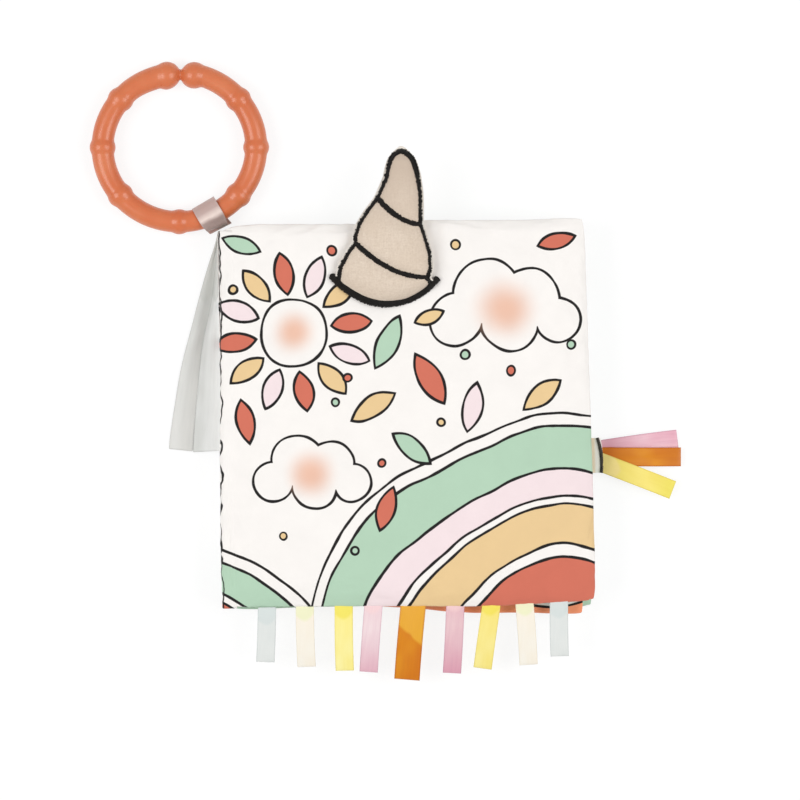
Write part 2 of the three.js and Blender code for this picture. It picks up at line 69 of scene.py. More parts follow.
# The photograph's scale, in millimetres to a pixel at the top of the book, and its width in pixels
PHOTO_SCALE = 0.4865
PHOTO_WIDTH = 800

# Pages: their four edges, the flat gutter beside the spine and how far the foot droops towards the
# fore-edge. Seam is the height of the turned seam, swell the padding above it and base the level that
# it stays over. Draw pulls the middles of the edges in, askew is the share of the book's own lean,
# soft is the rounding at foot and head, and belly is the depth, middle and reach of the foot's bulge.
REAR_COVER = dict(left=SPINE_EDGE, right=90.2, foot=-94.2, head=HEAD, gutter=0, droop=0,
                  seam=REAR_SEAM, swell=5.0, base=0.0,
                  draw=0.8, askew=0.0, soft=None, belly=(2.6, 84, 14))
INNER_LEAF = dict(left=-85.9, right=84.7, foot=-90.1, head=93.3, gutter=2.8, droop=10.3,
                  seam=LEAF_SEAM, swell=3.6, base=10.0,
                  draw=0.8, askew=0.5, soft=None, belly=(1.6, 28, 26))
FRONT_COVER = dict(left=SPINE_EDGE, right=FORE_EDGE, foot=-HEAD, head=HEAD, gutter=0, droop=0,
                   seam=FRONT_SEAM, swell=4.6, base=17.7,
                   draw=0.0, askew=1.0, soft=(14, 7), belly=(1.3, 35, 38))

HORN_X = -8.0
HORN_FOOT = 54.4
HORN_WIDTH = 52.2
HORN_HEIGHT = 74.5
HORN_SAG = 10.2
HORN_FRONT = 7.0
HORN_BACK = 2.5
# Rows from the sewn base to the tip: left edge, right edge, sag, fullness in front and behind
HORN_ROWS = [
    (-0.45, 0.185, 0.435, 0.138, 1, 0, 0),
    (-0.415, 0.25, 0.425, 0.143, 0.85, 0.62, 0.7),
    (-0.335, 0.34, 0.412, 0.148, 0.65, 0.78, 1),
    (-0.27, 0.398, 0.405, 0.158, 0.45, 0.5, 1),
    (-0.27, 0.444, 0.435, 0.213, 0.38, 0.9, 1),
    (-0.23, 0.52, 0.432, 0.31, 0.32, 1, 1),
    (-0.158, 0.6, 0.4, 0.397, 0.3, 0.92, 1),
    (-0.056, 0.69, 0.352, 0.505, 0.33, 0.54, 1),
    (-0.014, 0.753, 0.356, 0.605, 0.25, 0.84, 1),
    (0.03, 0.82, 0.355, 0.72, 0.17, 0.84, 1),
    (0.048, 0.876, 0.336, 0.829, 0.09, 0.72, 0.9),
    (0.074, 0.934, 0.3, 0.921, 0.02, 0.52, 0.7),
    (0.138, 0.992, 0.228, 0.993, -0.12, 0, 0),
]
HORN_LAST_ROW = len(HORN_ROWS) - 1
HORN_LOWER_BAND = 3
HORN_UPPER_BAND = 7
# The stitched line along the sewn base, in shares of the horn's width and height
HORN_BASE_BAND = [(-0.501, 0.186), (-0.4, 0.116), (-0.202, 0.024), (0, -0.01), (0.201, 0.013),
                  (0.364, 0.067), (0.5, 0.152)]

WIDE_RIBBON = 12.4
FRINGE_RIBBON = 8.9
TAIL_RIBBON = 9.2
# Fringe loops from the spine on: satin, place along the foot, width, length and lean
FRINGE = [
    ("grey", -0.386, FRINGE_RIBBON, 25.48, -3.6),
    ("cream", -0.283, FRINGE_RIBBON, 28.46, 0.6),
    ("yellow", -0.177, FRINGE_RIBBON, 30.94, -0.2),
    ("pink", -0.096, FRINGE_RIBBON, 32.1, -5.4),
    ("orange", 0.0125, WIDE_RIBBON, 36.4, -6.0),
    ("deeper_pink", 0.127, FRINGE_RIBBON, 33.52, -4.3),
    ("deeper_yellow", 0.226, FRINGE_RIBBON, 31.81, -9.1),
    ("cream", 0.315, FRINGE_RIBBON, 29.99, 2.4),
    ("grey", 0.409, FRINGE_RIBBON, 25.92, 0.0),
]
LONGEST_FRINGE = 36.4
# Tail loops: colour, place along the tab, length, lean and layer
TAIL = [
    ("pink", 0.15, 37.4, 6.2, -1),
    ("orange", -0.055, 38.6, -1.4, 0),
    ("yellow", -0.232, 37.0, -22.6, 1),
]
TAB_MIDDLE = -0.1208 * BOOK_HEIGHT
TAB_HEIGHT = 17.3
CORNER_TAIL_LENGTH = 107.5

RING_X, RING_Y, RING_Z = -106.3, 131.7, 6.45
RING_RADIUS = 37.0
RING_TUBE = 4.85
RING_KNOB_ANGLES = (0, 40, 140, 180, 220, 270, 320)
RING_GAP_ANGLE = 87.8


# Making pieces


def clear_selection():
    bpy.ops.object.select_all(action="DESELECT")


def choose(piece):
    clear_selection()
    piece.select_set(True)
    bpy.context.view_layer.objects.active = piece


def sheet_grid(name, columns, rows):
    """A flat grid primitive, one unit on a side, whose corners are then laid where the piece goes."""
    clear_selection()
    bpy.ops.mesh.primitive_grid_add(x_subdivisions=columns, y_subdivisions=rows, size=1)
    piece = bpy.context.active_object
    piece.name = piece.data.name = name
    return piece


def lay(piece, place):
    """Moves each corner of a unit grid: place gives its x, y, z in millimetres from its two shares."""
    for corner in piece.data.vertices:
        corner.co = Vector(place(corner.co.x + 0.5, corner.co.y + 0.5)) * MM
    piece.data.update()


def chart(piece, across, along):
    """A UV map in centimetres of cloth, from the shares of a unit grid."""
    layer = piece.data.uv_layers.active or piece.data.uv_layers.new(name="cloth")
    for loop in piece.data.loops:
        share = piece.data.vertices[loop.vertex_index].co
        layer.data[loop.index].uv = ((share.x + 0.5) * across / 10, (share.y + 0.5) * along / 10)
    layer.name = "cloth"


def in_edit_mode(piece, operator, **settings):
    """Runs an operator on the whole of a piece in edit mode."""
    choose(piece)
    bpy.ops.object.mode_set(mode="EDIT")
    bpy.ops.mesh.select_all(action="SELECT")
    operator(**settings)
    bpy.ops.object.mode_set(mode="OBJECT")


def finish_with(piece, kind, **settings):
    """Adds a modifier to a piece and applies it."""
    choose(piece)
    modifier = piece.modifiers.new(kind.lower(), kind)
    for key, value in settings.items():
        setattr(modifier, key, value)
    bpy.ops.object.modifier_apply(modifier=modifier.name)


def soften(piece):
    finish_with(piece, "SUBSURF", levels=1, render_levels=1)


def thicken(piece, thickness, offset=-1.0):
    finish_with(piece, "SOLIDIFY", thickness=thickness * MM, offset=offset, use_rim=True)


def smooth(piece):
    choose(piece)
    bpy.ops.object.shade_smooth()


def points_of(piece, kind="co"):
    """The places of a piece's corners, or their normals."""
    found = np.empty(len(piece.data.vertices) * 3)
    piece.data.vertices.foreach_get(kind, found)
    return found.reshape(-1, 3)


def set_points(piece, points):
    piece.data.vertices.foreach_set("co", np.asarray(points, np.float32).ravel())
    piece.data.update()


def dress(piece, finish, body, *nodes, slot=None):
    """Gives a piece its finish, puts it on its body and hides the CAD nodes that it stands for."""
    piece.data.materials.clear()
    piece.data.materials.append(FINISHES[finish])
    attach(piece, body)
    if nodes:
        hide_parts(*nodes)


# Finishes


class Amount:
    """A number that a finish works out at each place. Plain arithmetic on it adds the nodes for it."""

    def __init__(self, finish, socket):
        self.finish = finish
        self.socket = socket

    def __add__(self, other):
        return self.finish.worked("ADD", self, other)

    def __sub__(self, other):
        return self.finish.worked("SUBTRACT", self, other)

    def __mul__(self, other):
        return self.finish.worked("MULTIPLY", self, other)

    def __truediv__(self, other):
        return self.finish.worked("DIVIDE", self, other)

    def __abs__(self):
        return self.finish.worked("ABSOLUTE", self)


class Finish:
    """A material and short ways to add the nodes that work out its colour, bump and gloss."""

    def __init__(self, name, roughness=0.8, **settings):
        self.material = bpy.data.materials.new(name)
        self.material.use_nodes = True
        self.nodes = self.material.node_tree.nodes
        self.links = self.material.node_tree.links
        self.shader = self.nodes["Principled BSDF"]
        self.shader.inputs["Roughness"].default_value = roughness
        for key, value in settings.items():
            self.shader.inputs[key.replace("_", " ")].default_value = value
        self.places = self.nodes.new("ShaderNodeTexCoord")

    def feed(self, socket, value):
        """Sets a socket to a number or a colour, or links it to what another node gives."""
        if isinstance(value, (int, float)):
            socket.default_value = value
        elif isinstance(value, tuple):
            socket.default_value = (*value, 1.0) if len(socket.default_value) == 4 else value
        else:
            self.links.new(value.socket if isinstance(value, Amount) else value, socket)

    def node(self, kind, **inputs):
        """A new node of a kind, with its named inputs fed."""
        node = self.nodes.new("ShaderNode" + kind)
        for key, value in inputs.items():
            self.feed(node.inputs[key.replace("_", " ")], value)
        return node

    def worked(self, operation, *values):
        node = self.node("Math")
        node.operation = operation
        for socket, value in zip(node.inputs, values):
            self.feed(socket, value)
        return Amount(self, node.outputs[0])

    def object_place(self):
        """Places on the object in millimetres."""
        node = self.node("VectorMath")
        node.operation = "SCALE"
        node.inputs["Scale"].default_value = 1 / MM
        self.links.new(self.places.outputs["Object"], node.inputs[0])
        return node.outputs[0]

    def cloth_place(self):
        """Places in centimetres of ribbon or thread."""
        return self.places.outputs["UV"]

    def kept(self, name):
        """A number kept on the mesh."""
        node = self.node("Attribute")
        node.attribute_name = name
        return Amount(self, node.outputs["Fac"])

    def mapped(self, place, scale):
        return self.node("Mapping", Vector=place, Scale=scale).outputs[0]

    def split(self, place):
        node = self.node("SeparateXYZ", Vector=place)
        return [Amount(self, output) for output in node.outputs]

    def noise(self, place, scale, detail=3.0, roughness=0.5):
        node = self.node("TexNoise", Vector=place, Scale=scale, Detail=detail, Roughness=roughness)
        return Amount(self, node.outputs["Fac"])

    def wander(self, place, scale, detail, size):
        """A noise that goes about as far below zero as above it."""
        return (self.noise(place, scale, detail) - 0.5) * size

    def threads(self, place, scale, direction, distortion=0.0):
        node = self.node("TexWave", Vector=place, Scale=scale, Distortion=distortion, Detail_Scale=1.5)
        node.bands_direction = direction
        return Amount(self, node.outputs["Fac"])

    def mix(self, share, first, second, blend="MIX"):
        node = self.node("Mix")
        node.data_type = "RGBA"
        node.blend_type = blend
        self.feed(node.inputs[0], share)
        self.feed(node.inputs[6], first)
        self.feed(node.inputs[7], second)
        return node.outputs[2]

    def span(self, value, low, high, to_low=0.0, to_high=1.0, eased=False):
        """Moves a number from one range to another, and stops at its ends."""
        node = self.node("MapRange", Value=value, From_Min=low, From_Max=high, To_Min=to_low, To_Max=to_high)
        if eased:
            node.interpolation_type = "SMOOTHERSTEP"
        return Amount(self, node.outputs["Result"])

    def colour(self, value):
        self.feed(self.shader.inputs["Base Color"], value)

    def roughness(self, value):
        self.feed(self.shader.inputs["Roughness"], value)

    def raised(self, height, depth, strength=1.0):
        """Bump: height from 0 to 1 over a depth in millimetres."""
        node = self.node("Bump", Strength=strength, Distance=depth * MM, Height=height)
        self.links.new(node.outputs["Normal"], self.shader.inputs["Normal"])


def ink(red, green, blue):
    """A colour as written on screen, in the linear values that shaders take."""
    def straight(value):
        value /= 255
        return value / 12.92 if value <= 0.04045 else ((value + 0.055) / 1.055) ** 2.4
    return (straight(red), straight(green), straight(blue))


WHITE = ink(250, 246, 242)
CORAL = ink(214, 117, 96)
OCHRE = ink(236, 204, 152)
MINT = ink(183, 213, 188)
# Painted light: the leaf's coral is painted far lighter than the cover's, making up for the shade that the
# front cover casts on the leaf's foot
BRIGHTENED_LEAF_CORAL = ink(255, 159, 118)
BLUSH_PINK = ink(246, 228, 230)
BLUSH = ink(238, 188, 162)
BLACK = ink(32, 30, 30)


def woven(finish):
    """The fine even weave of the printed cloth, with a soft unevenness."""
    place = finish.object_place()
    warp = finish.threads(place, 0.95, "X")
    weft = finish.threads(place, 0.95, "Y")
    weave = (warp + weft) * 0.5
    drift = finish.noise(place, 0.09, 3.0)
    finish.raised(weave * 0.35 + drift, 0.22, 0.55)
    return place, drift


class Print(Finish):
    """Cloth printed with outlined shapes, drawn from circles in millimetres on the page."""

    BLUR = 0.12

    def __init__(self, name, ground):
        super().__init__(name, 0.82, Sheen_Weight=0.2, Sheen_Roughness=0.45, Specular_IOR_Level=0.2)
        self.place, self.drift = woven(self)
        self.x, self.y, self.z = self.split(self.place)
        sway = self.wander(self.place, 0.03, 1.0, 4.0)
        lift = self.wander(self.place, 0.041, 1.0, 4.0)
        self.page = self.node("CombineXYZ", X=self.x + sway, Y=self.y + lift).outputs[0]
        self.paint = ground
        self.pen = self.wander(self.place, 0.12, 2.0, 0.7)

    def circle(self, x, y, radius):
        """How far outside a circle a place is, negative inside."""
        node = self.node("VectorMath")
        node.operation = "DISTANCE"
        self.links.new(self.page, node.inputs[0])
        node.inputs[1].default_value = (x, y, 0)
        return Amount(self, node.outputs["Value"]) - radius

    def petal(self, x, y, length, width, turn):
        """A leaf shape: where two circles overlap."""
        radius = (length * length + width * width) / (4 * width)
        off = radius - width / 2
        side = math.radians(turn + 90)
        dx, dy = math.cos(side) * off, math.sin(side) * off
        return self.worked("MAXIMUM", self.circle(x + dx, y + dy, radius),
                           self.circle(x - dx, y - dy, radius))

    def joined(self, shapes):
        whole = shapes[0]
        for shape in shapes[1:]:
            whole = self.worked("MINIMUM", whole, shape)
        return whole

    def fill(self, shape, colour):
        inside = self.span(shape, -self.BLUR, self.BLUR, 1.0, 0.0)
        self.paint = self.mix(inside, self.paint, colour)

    def outline(self, shape, width=1.3):
        """A pen line of slightly uneven width along a shape's edge."""
        edge = abs(shape) + self.pen
        line = self.span(edge, width / 2 - self.BLUR, width / 2 + self.BLUR, 1.0, 0.0)
        self.paint = self.mix(line, self.paint, BLACK)

    def glow(self, x, y, radius, strength=0.9):
        """A soft round blush."""
        near = self.span(self.circle(x, y, 0), 0, radius, strength, 0, eased=True)
        self.paint = self.mix(near, self.paint, BLUSH)

    def shape(self, shape, colour, width=1.3):
        self.fill(shape, colour)
        self.outline(shape, width)

    def done(self):
        faded = self.span(self.drift, 0.25, 0.75, 0.975, 1.015)
        self.colour(self.mix(1.0, self.paint, faded, "MULTIPLY"))
        return self.material


def bands(page, x, y, stops, wave=2.6):
    """Nested wavy bands round a point, each a colour up to a radius, with outlines between."""
    far = page.circle(x, y, 0) + page.worked("SINE", page.x * 0.062) * wave
    for radius, colour in sorted(stops, reverse=True, key=lambda stop: stop[0]):
        page.shape(far - radius, colour, 1.35)


def cloud(page, x, y, size):
    """A cloud of five round puffs with a warm glow in it."""
    puffs = ((-20, -4, 11), (-7, 7, 14), (10, 4, 13), (22, -5, 9.5), (2, -6, 12))
    page.shape(page.joined([page.circle(x + dx * size, y + dy * size, radius * size)
                            for dx, dy, radius in puffs]), WHITE)
    page.glow(x, y, 18 * size)


def sun(page, x, y):
    """A round sun with a glow and twelve petals for its rays."""
    for turn in range(0, 360, 30):
        angle = math.radians(turn + 8)
        colour = (CORAL, OCHRE, BLUSH_PINK)[turn // 30 % 3]
        ray = page.petal(x + 29 * math.cos(angle), y + 29 * math.sin(angle), 20, 9.2, turn + 8)
        page.shape(ray, colour)
    page.shape(page.circle(x, y, 16.5), WHITE)
    page.glow(x, y, 15)


def cover_print():
    page = Print("printed_cover_cloth", WHITE)
    # Hills at the foot, the far ones first
    bands(page, -104, -126, [(64, WHITE), (58, MINT), (44, WHITE), (40, CORAL), (26, OCHRE)], 1.5)
    bands(page, 76, -134, [(130, WHITE), (124, MINT), (103, BLUSH_PINK), (90, WHITE), (86, OCHRE),
                           (66, WHITE), (60, CORAL)])
    cloud(page, 50, 50, 1.16)
    cloud(page, -46, -28, 0.92)
    sun(page, -53, 41)
    # Drifting leaves
    for x, y, length, width, turn, colour in (
        (-7, 35, 29, 11, 62, MINT), (13, 17, 28, 11, 118, CORAL), (-15, 4, 25, 9.6, 30, OCHRE),
        (33, 2, 24, 9.4, 80, BLUSH_PINK), (3, -17, 23, 9, 142, MINT), (-10, -46, 22, 8.6, 70, CORAL),
        (68, 8, 24, 9.4, 38, OCHRE), (76, 83, 19, 7.8, 14, CORAL), (-77, 84, 20, 8, 158, MINT),
        (-77, -2, 22, 8.4, 100, CORAL), (14, 47, 15, 6.6, 20, OCHRE),
    ):
        page.shape(page.petal(x, y, length, width, turn), colour)
    # A broken pen line that wanders over the spine's upper edge, and stops below it
    sway = page.worked("SINE", (page.y - 5) * (math.pi / 150))
    line = sway * 1.25 + (page.wander(page.place, 0.09, 2.0, 6.0) - 89.3)
    below = page.worked("MAXIMUM", (page.z - 21.8) * -3.0, 0.0)
    page.outline(abs(page.x - line) + below, 0.8)
    # Small dots
    for x, y, radius, colour in (
        (-33, 80, 2.3, CORAL), (27, 82, 2.3, OCHRE), (-82, 62, 2.0, OCHRE), (30, 28, 2.2, MINT),
        (-28, 18, 2.0, CORAL), (52, 20, 2.2, CORAL), (-34, 6, 1.8, MINT), (18, -4, 1.8, OCHRE),
        (-12, -24, 1.8, CORAL), (82, 32, 2.0, MINT), (-60, -58, 1.9, OCHRE), (-26, -66, 1.9, MINT),
    ):
        page.shape(page.circle(x, y, radius), colour, 1.1)
    return page.done()


def leaf_front_print():
    """White cloth with three wavy bands, and a coral field along its foot with a curved edge, its coral
    painted lighter against the front cover's shade.
    """
    page = Print("coral_page_cloth", WHITE)
    for y, colour in ((62, CORAL), (20, OCHRE), (-22, BLUSH_PINK)):
        wave = page.worked("SINE", page.x * 0.11) * 7.0
        page.shape(abs(page.y - y - wave) - 6.0, colour)
    leaf_width = INNER_LEAF["right"] - INNER_LEAF["left"]
    droop = (page.x - INNER_LEAF["left"]) * (INNER_LEAF["droop"] / leaf_width)
    away = page.x - 68
    rise = away * away * 0.0117 + 3.5
    # The coral field is painted lighter than the cover's coral, as painted light against the cover's shade
    page.shape(page.y + droop + 90.0 - rise, BRIGHTENED_LEAF_CORAL, 1.2)
    return page.done()


def spotted_print(name, ground, spot, step, radius, outlined=False):
    """A page with an even round spot, offset on alternate rows."""
    page = Print(name, ground)
    shift = page.worked("FLOORED_MODULO", page.worked("FLOOR", page.y / step), 2.0) * (step / 2)
    u = page.worked("FLOORED_MODULO", page.x + shift, step) - step / 2
    v = page.worked("FLOORED_MODULO", page.y, step) - step / 2
    shape = page.worked("SQRT", u * u + v * v) - radius
    page.fill(shape, spot)
    if outlined:
        page.outline(shape, 0.8)
    return page.done()


def horn_linen():
    """Slubbed beige linen, its warp up the horn."""
    cloth = Finish("horn_linen", 0.88, Sheen_Weight=0.15, Specular_IOR_Level=0.2)
    place = cloth.object_place()
    warp = cloth.threads(cloth.mapped(place, (1, 0.06, 1)), 0.62, "X", 2.5)
    weft = cloth.threads(cloth.mapped(place, (0.06, 1, 1)), 0.62, "Y", 2.5)
    slub = cloth.noise(cloth.mapped(place, (0.3, 1.5, 1)), 0.8, 5.0, 0.7)
    cross = cloth.noise(cloth.mapped(place, (1.5, 0.25, 1)), 0.8, 5.0, 0.7)
    fleck = cloth.noise(place, 1.1, 4.0, 0.75)
    patch = cloth.noise(place, 0.06, 2.0)
    weave = (warp + weft) * 0.5
    uneven = (slub + cross) * 0.5
    tone = weave * 0.1 + uneven * 0.5 + fleck * 0.4
    colour = cloth.mix(cloth.span(tone, 0.3, 0.7), ink(200, 180, 160), ink(242, 228, 212))
    colour = cloth.mix(cloth.span(patch, 0.3, 0.7, 0.0, 0.35), colour, ink(216, 197, 176))
    # Painted shade: a little darker towards the tip
    x, y, z = cloth.split(place)
    colour = cloth.mix(cloth.span(y, 88, 118, 0.0, 0.8), colour, ink(204, 185, 167))
    cloth.colour(colour)
    cloth.raised(tone, 0.35, 0.8)
    return cloth.material


def satin(name, tones, root=None, root_reach=0.7, bow=0.25, slant=0.0, end=None, ends=(1.6, 3.3),
          streaks=0.12, rims=0.45, fade=0.08, back=None, back_from=0.0, painted_light_edge=None):
    """Satin ribbon: fine lengthwise floats, a painted drift of light, selvedges, and tones that change from
    its root, with a bowed or slanting border, to its end. The root tone is painted shade where the cover's
    edge shades the ribbon's root, and a lighter tone on the orange. Its three tones are pale, deep and edge,
    and lengths are in centimetres of ribbon. Back is the tone from back_from on, and painted_light_edge is
    painted light along one edge, where the cover shades it."""
    pale, deep, edge = (ink(*tone) for tone in tones)
    ribbon = Finish(name, 0.4, Sheen_Weight=0.2, Sheen_Roughness=0.3, Anisotropic=0.4,
                    Specular_IOR_Level=0.42)
    place = ribbon.cloth_place()
    floats = ribbon.noise(ribbon.mapped(place, (46, 1.3, 1)), 1.0, 3.0, 0.6)
    wide = ribbon.noise(ribbon.mapped(place, (5.5, 0.5, 1)), 1.0, 2.0)
    drift = ribbon.noise(ribbon.mapped(place, (0.8, 0.55, 1)), 1.0, 1.0)
    side, run = ribbon.kept("side"), ribbon.kept("run")
    # Painted drift of light: a slow wander between the deep and pale tones
    colour = ribbon.mix(ribbon.span(drift, 0.38, 0.62), deep, pale)
    if end:
        colour = ribbon.mix(ribbon.span(run, *ends), colour, ink(*end))
    if back:
        colour = ribbon.mix(ribbon.span(run, back_from, back_from + 0.2), colour, ink(*back))
    # Painted light: one edge is lighter where the cover shades the ribbon
    if painted_light_edge:
        colour = ribbon.mix(ribbon.span(side, -0.6, 1.0), colour, ink(*painted_light_edge))
    colour = ribbon.mix(ribbon.span(wide, 0.35, 0.7, 0.0, streaks), colour, edge)
    # Painted shade over the root, where the cover's edge shades the ribbon (a lighter tone on the orange)
    if root:
        uneven = ribbon.wander(ribbon.mapped(place, (1.8, 0.5, 1)), 1.0, 1.0, 0.3)
        border = run + side * side * bow + side * slant + uneven
        painted_root_tone = ribbon.span(border, root_reach - fade, root_reach + fade, 0.85, 0.0)
        colour = ribbon.mix(painted_root_tone, colour, ink(*root))
    colour = ribbon.mix(ribbon.span(floats, 0.3, 0.7, 0.0, streaks), colour, edge)
    rim = ribbon.span(abs(side), 0.84, 0.98)
    ribbon.colour(ribbon.mix(rim * rims, colour, edge))
    ribbon.roughness(ribbon.span(floats, 0.2, 0.8, 0.34, 0.48))
    ribbon.raised(floats * 0.5 + rim * 0.7, 0.1, 0.5)
    return ribbon.material


def black_satin_stitch():
    thread = Finish("black_satin_stitch", 0.6, Sheen_Weight=0.05, Specular_IOR_Level=0.22)
    place = thread.cloth_place()
    strands = thread.threads(place, 11.0, "Y", 0.6)
    fibre = thread.noise(thread.mapped(place, (3, 30, 1)), 2.0, 3.0)
    thread.colour(thread.mix(thread.span(strands, 0.2, 0.9), ink(10, 8, 7), ink(34, 30, 27)))
    thread.raised(strands + fibre * 0.4, 0.18, 0.8)
    return thread.material


def moulded_ring():
    plastic = Finish("coral_ring_plastic", 0.3, Specular_IOR_Level=0.5, Coat_Weight=0.15,
                     Coat_Roughness=0.2, Subsurface_Weight=0.06, Subsurface_Scale=0.002)
    place = plastic.object_place()
    cloudy = plastic.noise(place, 0.05, 2.0)
    plastic.colour(plastic.mix(plastic.span(cloudy, 0.3, 0.7), ink(214, 112, 68), ink(220, 124, 80)))
    plastic.roughness(plastic.span(cloudy, 0.3, 0.7, 0.28, 0.36))
    plastic.raised(plastic.noise(place, 1.4, 2.0), 0.03, 0.35)
    return plastic.material


def plain_cloth(name, colour, deeper):
    cloth = Finish(name, 0.85, Sheen_Weight=0.2, Specular_IOR_Level=0.25)
    place, drift = woven(cloth)
    cloth.colour(cloth.mix(cloth.span(drift, 0.3, 0.7), deeper, colour))
    return cloth.material


def tab_cloth():
    """Warm cream cloth that fades to a white band beside the stitched line."""
    cloth = Finish("cream_tab_cloth", 0.85, Sheen_Weight=0.2, Specular_IOR_Level=0.25)
    place, drift = woven(cloth)
    x, y, z = cloth.split(place)
    tone = cloth.mix(cloth.span(x, 89.5, 92.6), ink(236, 206, 172), ink(252, 232, 208))
    tone = cloth.mix(cloth.span(x, 92.4, 93.2), tone, ink(255, 252, 246))
    cloth.colour(cloth.mix(cloth.span(drift, 0.3, 0.7, 0.0, 0.2), tone, ink(240, 216, 188)))
    return cloth.material


def clouded(name, roughness, dark, light, scale, detail, bump, grain=None, **settings):
    """A finish of two tones clouded into each other, with a bump of the clouds or of a finer grain.
    Detail is the clouds' detail and roughness, and bump is its depth and strength."""
    finish = Finish(name, roughness, **settings)
    place = finish.object_place()
    cloudy = finish.noise(place, scale, *detail)
    finish.colour(finish.mix(cloudy, ink(*dark), ink(*light)))
    finish.raised(finish.noise(place, grain, 2.0) if grain else cloudy, *bump)
    return finish.material


# Satins by their short names: the three tones first. Their root tones are painted shade where the cover
# shades the roots of the fringe loops and corner tails; the orange's root tone is lighter.
SATINS = {
    "grey": dict(tones=((233, 235, 232), (224, 228, 225), (200, 208, 206)),
                 root=(214, 222, 220), root_reach=0.75),
    "cream": dict(tones=((250, 245, 234), (249, 240, 224), (238, 226, 198)),
                  root=(238, 240, 196), root_reach=0.62, rims=0.3),
    "yellow": dict(tones=((255, 246, 170), (252, 238, 140), (236, 214, 84)),
                   root=(243, 228, 90), root_reach=0.6),
    "deeper_yellow": dict(tones=((252, 238, 154), (248, 229, 126), (234, 210, 80)),
                          root=(243, 226, 84), root_reach=0.6),
    "pink": dict(tones=((249, 234, 234), (243, 219, 221), (208, 156, 178)),
                 root=(246, 214, 214), root_reach=0.4, end=(229, 176, 190), ends=(1.1, 3.3), streaks=0.18),
    "deeper_pink": dict(tones=((242, 214, 214), (235, 196, 200), (200, 140, 166)),
                        root=(244, 208, 208), root_reach=0.4, end=(225, 164, 180), ends=(1.0, 3.1),
                        streaks=0.18),
    "orange": dict(tones=((224, 142, 12), (214, 121, 4), (186, 92, 4)),
                   root=(238, 178, 50), root_reach=1.45, slant=-0.45, bow=0.0),
    "tail_pink": dict(tones=((246, 206, 215), (236, 178, 193), (204, 140, 164)), streaks=0.22),
    "tail_orange": dict(tones=((228, 146, 2), (208, 112, 0), (182, 80, 0)),
                        end=(210, 120, 3), ends=(2.4, 3.2)),
    "tail_yellow": dict(tones=((252, 234, 130), (246, 224, 110), (228, 200, 72)),
                        root=(250, 226, 150), root_reach=0.9, end=(240, 226, 96), ends=(2.2, 3.4)),
    # Silver: the dark root tone is painted shade, and the pale tones between it and the end tone are a
    # painted highlight band
    "silver": dict(tones=((246, 228, 219), (239, 219, 210), (204, 188, 184)),
                   root=(164, 139, 134), root_reach=0.85, slant=0.04, bow=0.0, fade=0.1,
                   end=(196, 169, 162), ends=(0.98, 1.28), rims=0.3, back=(224, 220, 212), back_from=4.2),
    "pale_grey": dict(tones=((222, 223, 219), (214, 215, 211), (184, 186, 182)),
                      root=(206, 208, 203), root_reach=3.4, end=(222, 221, 217), ends=(5.5, 9.5), rims=0.25),
    # Painted light: the inner tail is painted lighter along its edge beside the cover, which shades it
    "pale_inner": dict(tones=((224, 225, 222), (216, 217, 213), (190, 192, 188)),
                       root=(206, 208, 203), root_reach=3.4, painted_light_edge=(252, 253, 252), rims=0.2),
}

FINISHES = {
    "cover": cover_print(),
    "leaf_front": leaf_front_print(),
    "mint": spotted_print("mint_spotted_cloth", MINT, WHITE, 22.0, 3.6),
    "white_spotted": spotted_print("white_spotted_cloth", WHITE, OCHRE, 26.0, 4.2, True),
    "linen": horn_linen(),
    "rim": plain_cloth("pale_rim_cloth", ink(250, 244, 236), ink(240, 230, 216)),
    "stitch": black_satin_stitch(),
    "ring": moulded_ring(),
    "tab": tab_cloth(),
    "wadding": clouded("wadding_fibre", 0.95, (228, 226, 220), (250, 249, 246), 0.6, (5.0, 0.7),
                       (0.6, 0.8), Sheen_Weight=0.4),
    "film": clouded("crinkle_film", 0.18, (208, 218, 224), (238, 243, 246), 0.22, (5.0, 0.75),
                    (0.6, 1.0), Specular_IOR_Level=0.5),
    "squeaker": clouded("squeaker_plastic", 0.4, (228, 226, 219), (241, 239, 233), 0.2, (2.0,),
                        (0.02, 0.4), grain=2.0),
    "tab_line": plain_cloth("tab_line_thread", ink(74, 68, 62), ink(54, 50, 46)),
}
FINISHES.update((name, satin(name + "_satin", **look)) for name, look in SATINS.items())


# Padded pages


def joined_halves(halves, name):
    clear_selection()
    for half in halves:
        half.select_set(True)
    bpy.context.view_layer.objects.active = halves[0]
    bpy.ops.object.join()
    whole = bpy.context.active_object
    whole.name = whole.data.name = name
    in_edit_mode(whole, bpy.ops.mesh.remove_doubles, threshold=0.00002)
    return whole


def closed_pad(name, columns, rows, place):
    """A closed pad: two grids sewn round their rims, the outer one (side 1) up and the inner one
    (side -1) down. Place takes a corner's two shares and its side."""
    halves = []
    for side in (1, -1):
        half = sheet_grid(f"{name}_half", columns, rows)
        lay(half, lambda across, along: place(across, along, side))
        if side < 0:
            in_edit_mode(half, bpy.ops.mesh.flip_normals)
        halves.append(half)
    return joined_halves(halves, name)


def spread(x, y, askew):
    """The book lies a little askew, wider at its foot, and its edges wander where they are sewn."""
    w = (x - SPINE_EDGE) / (FORE_EDGE - SPINE_EDGE)
    h = (y + HEAD) / BOOK_HEIGHT
    spine_out, spine_drawn = 1.5, 1.0
    fore_out, fore_drawn, fore_bow = 1.85, 1.4, 0.35
    head_out, head_wave, corner_dip = 0.4, 0.35, 2.4
    foot_out, foot_bow = 0.2, 0.425
    left = spine_drawn * h - spine_out
    right = fore_out - fore_drawn * h + fore_bow * (1 - (2 * h - 1) ** 2)
    head = head_out + head_wave * math.cos(0.0722 * (x - 17)) - corner_dip * math.exp(-max(0.0, x + 88) / 5)
    foot = foot_out + foot_bow * (1 + math.cos(math.pi * min(1.0, max(0.0, w) / 0.45)))
    return x + askew * ((1 - w) * left + w * right), y + askew * (h * head + (1 - h) * foot)


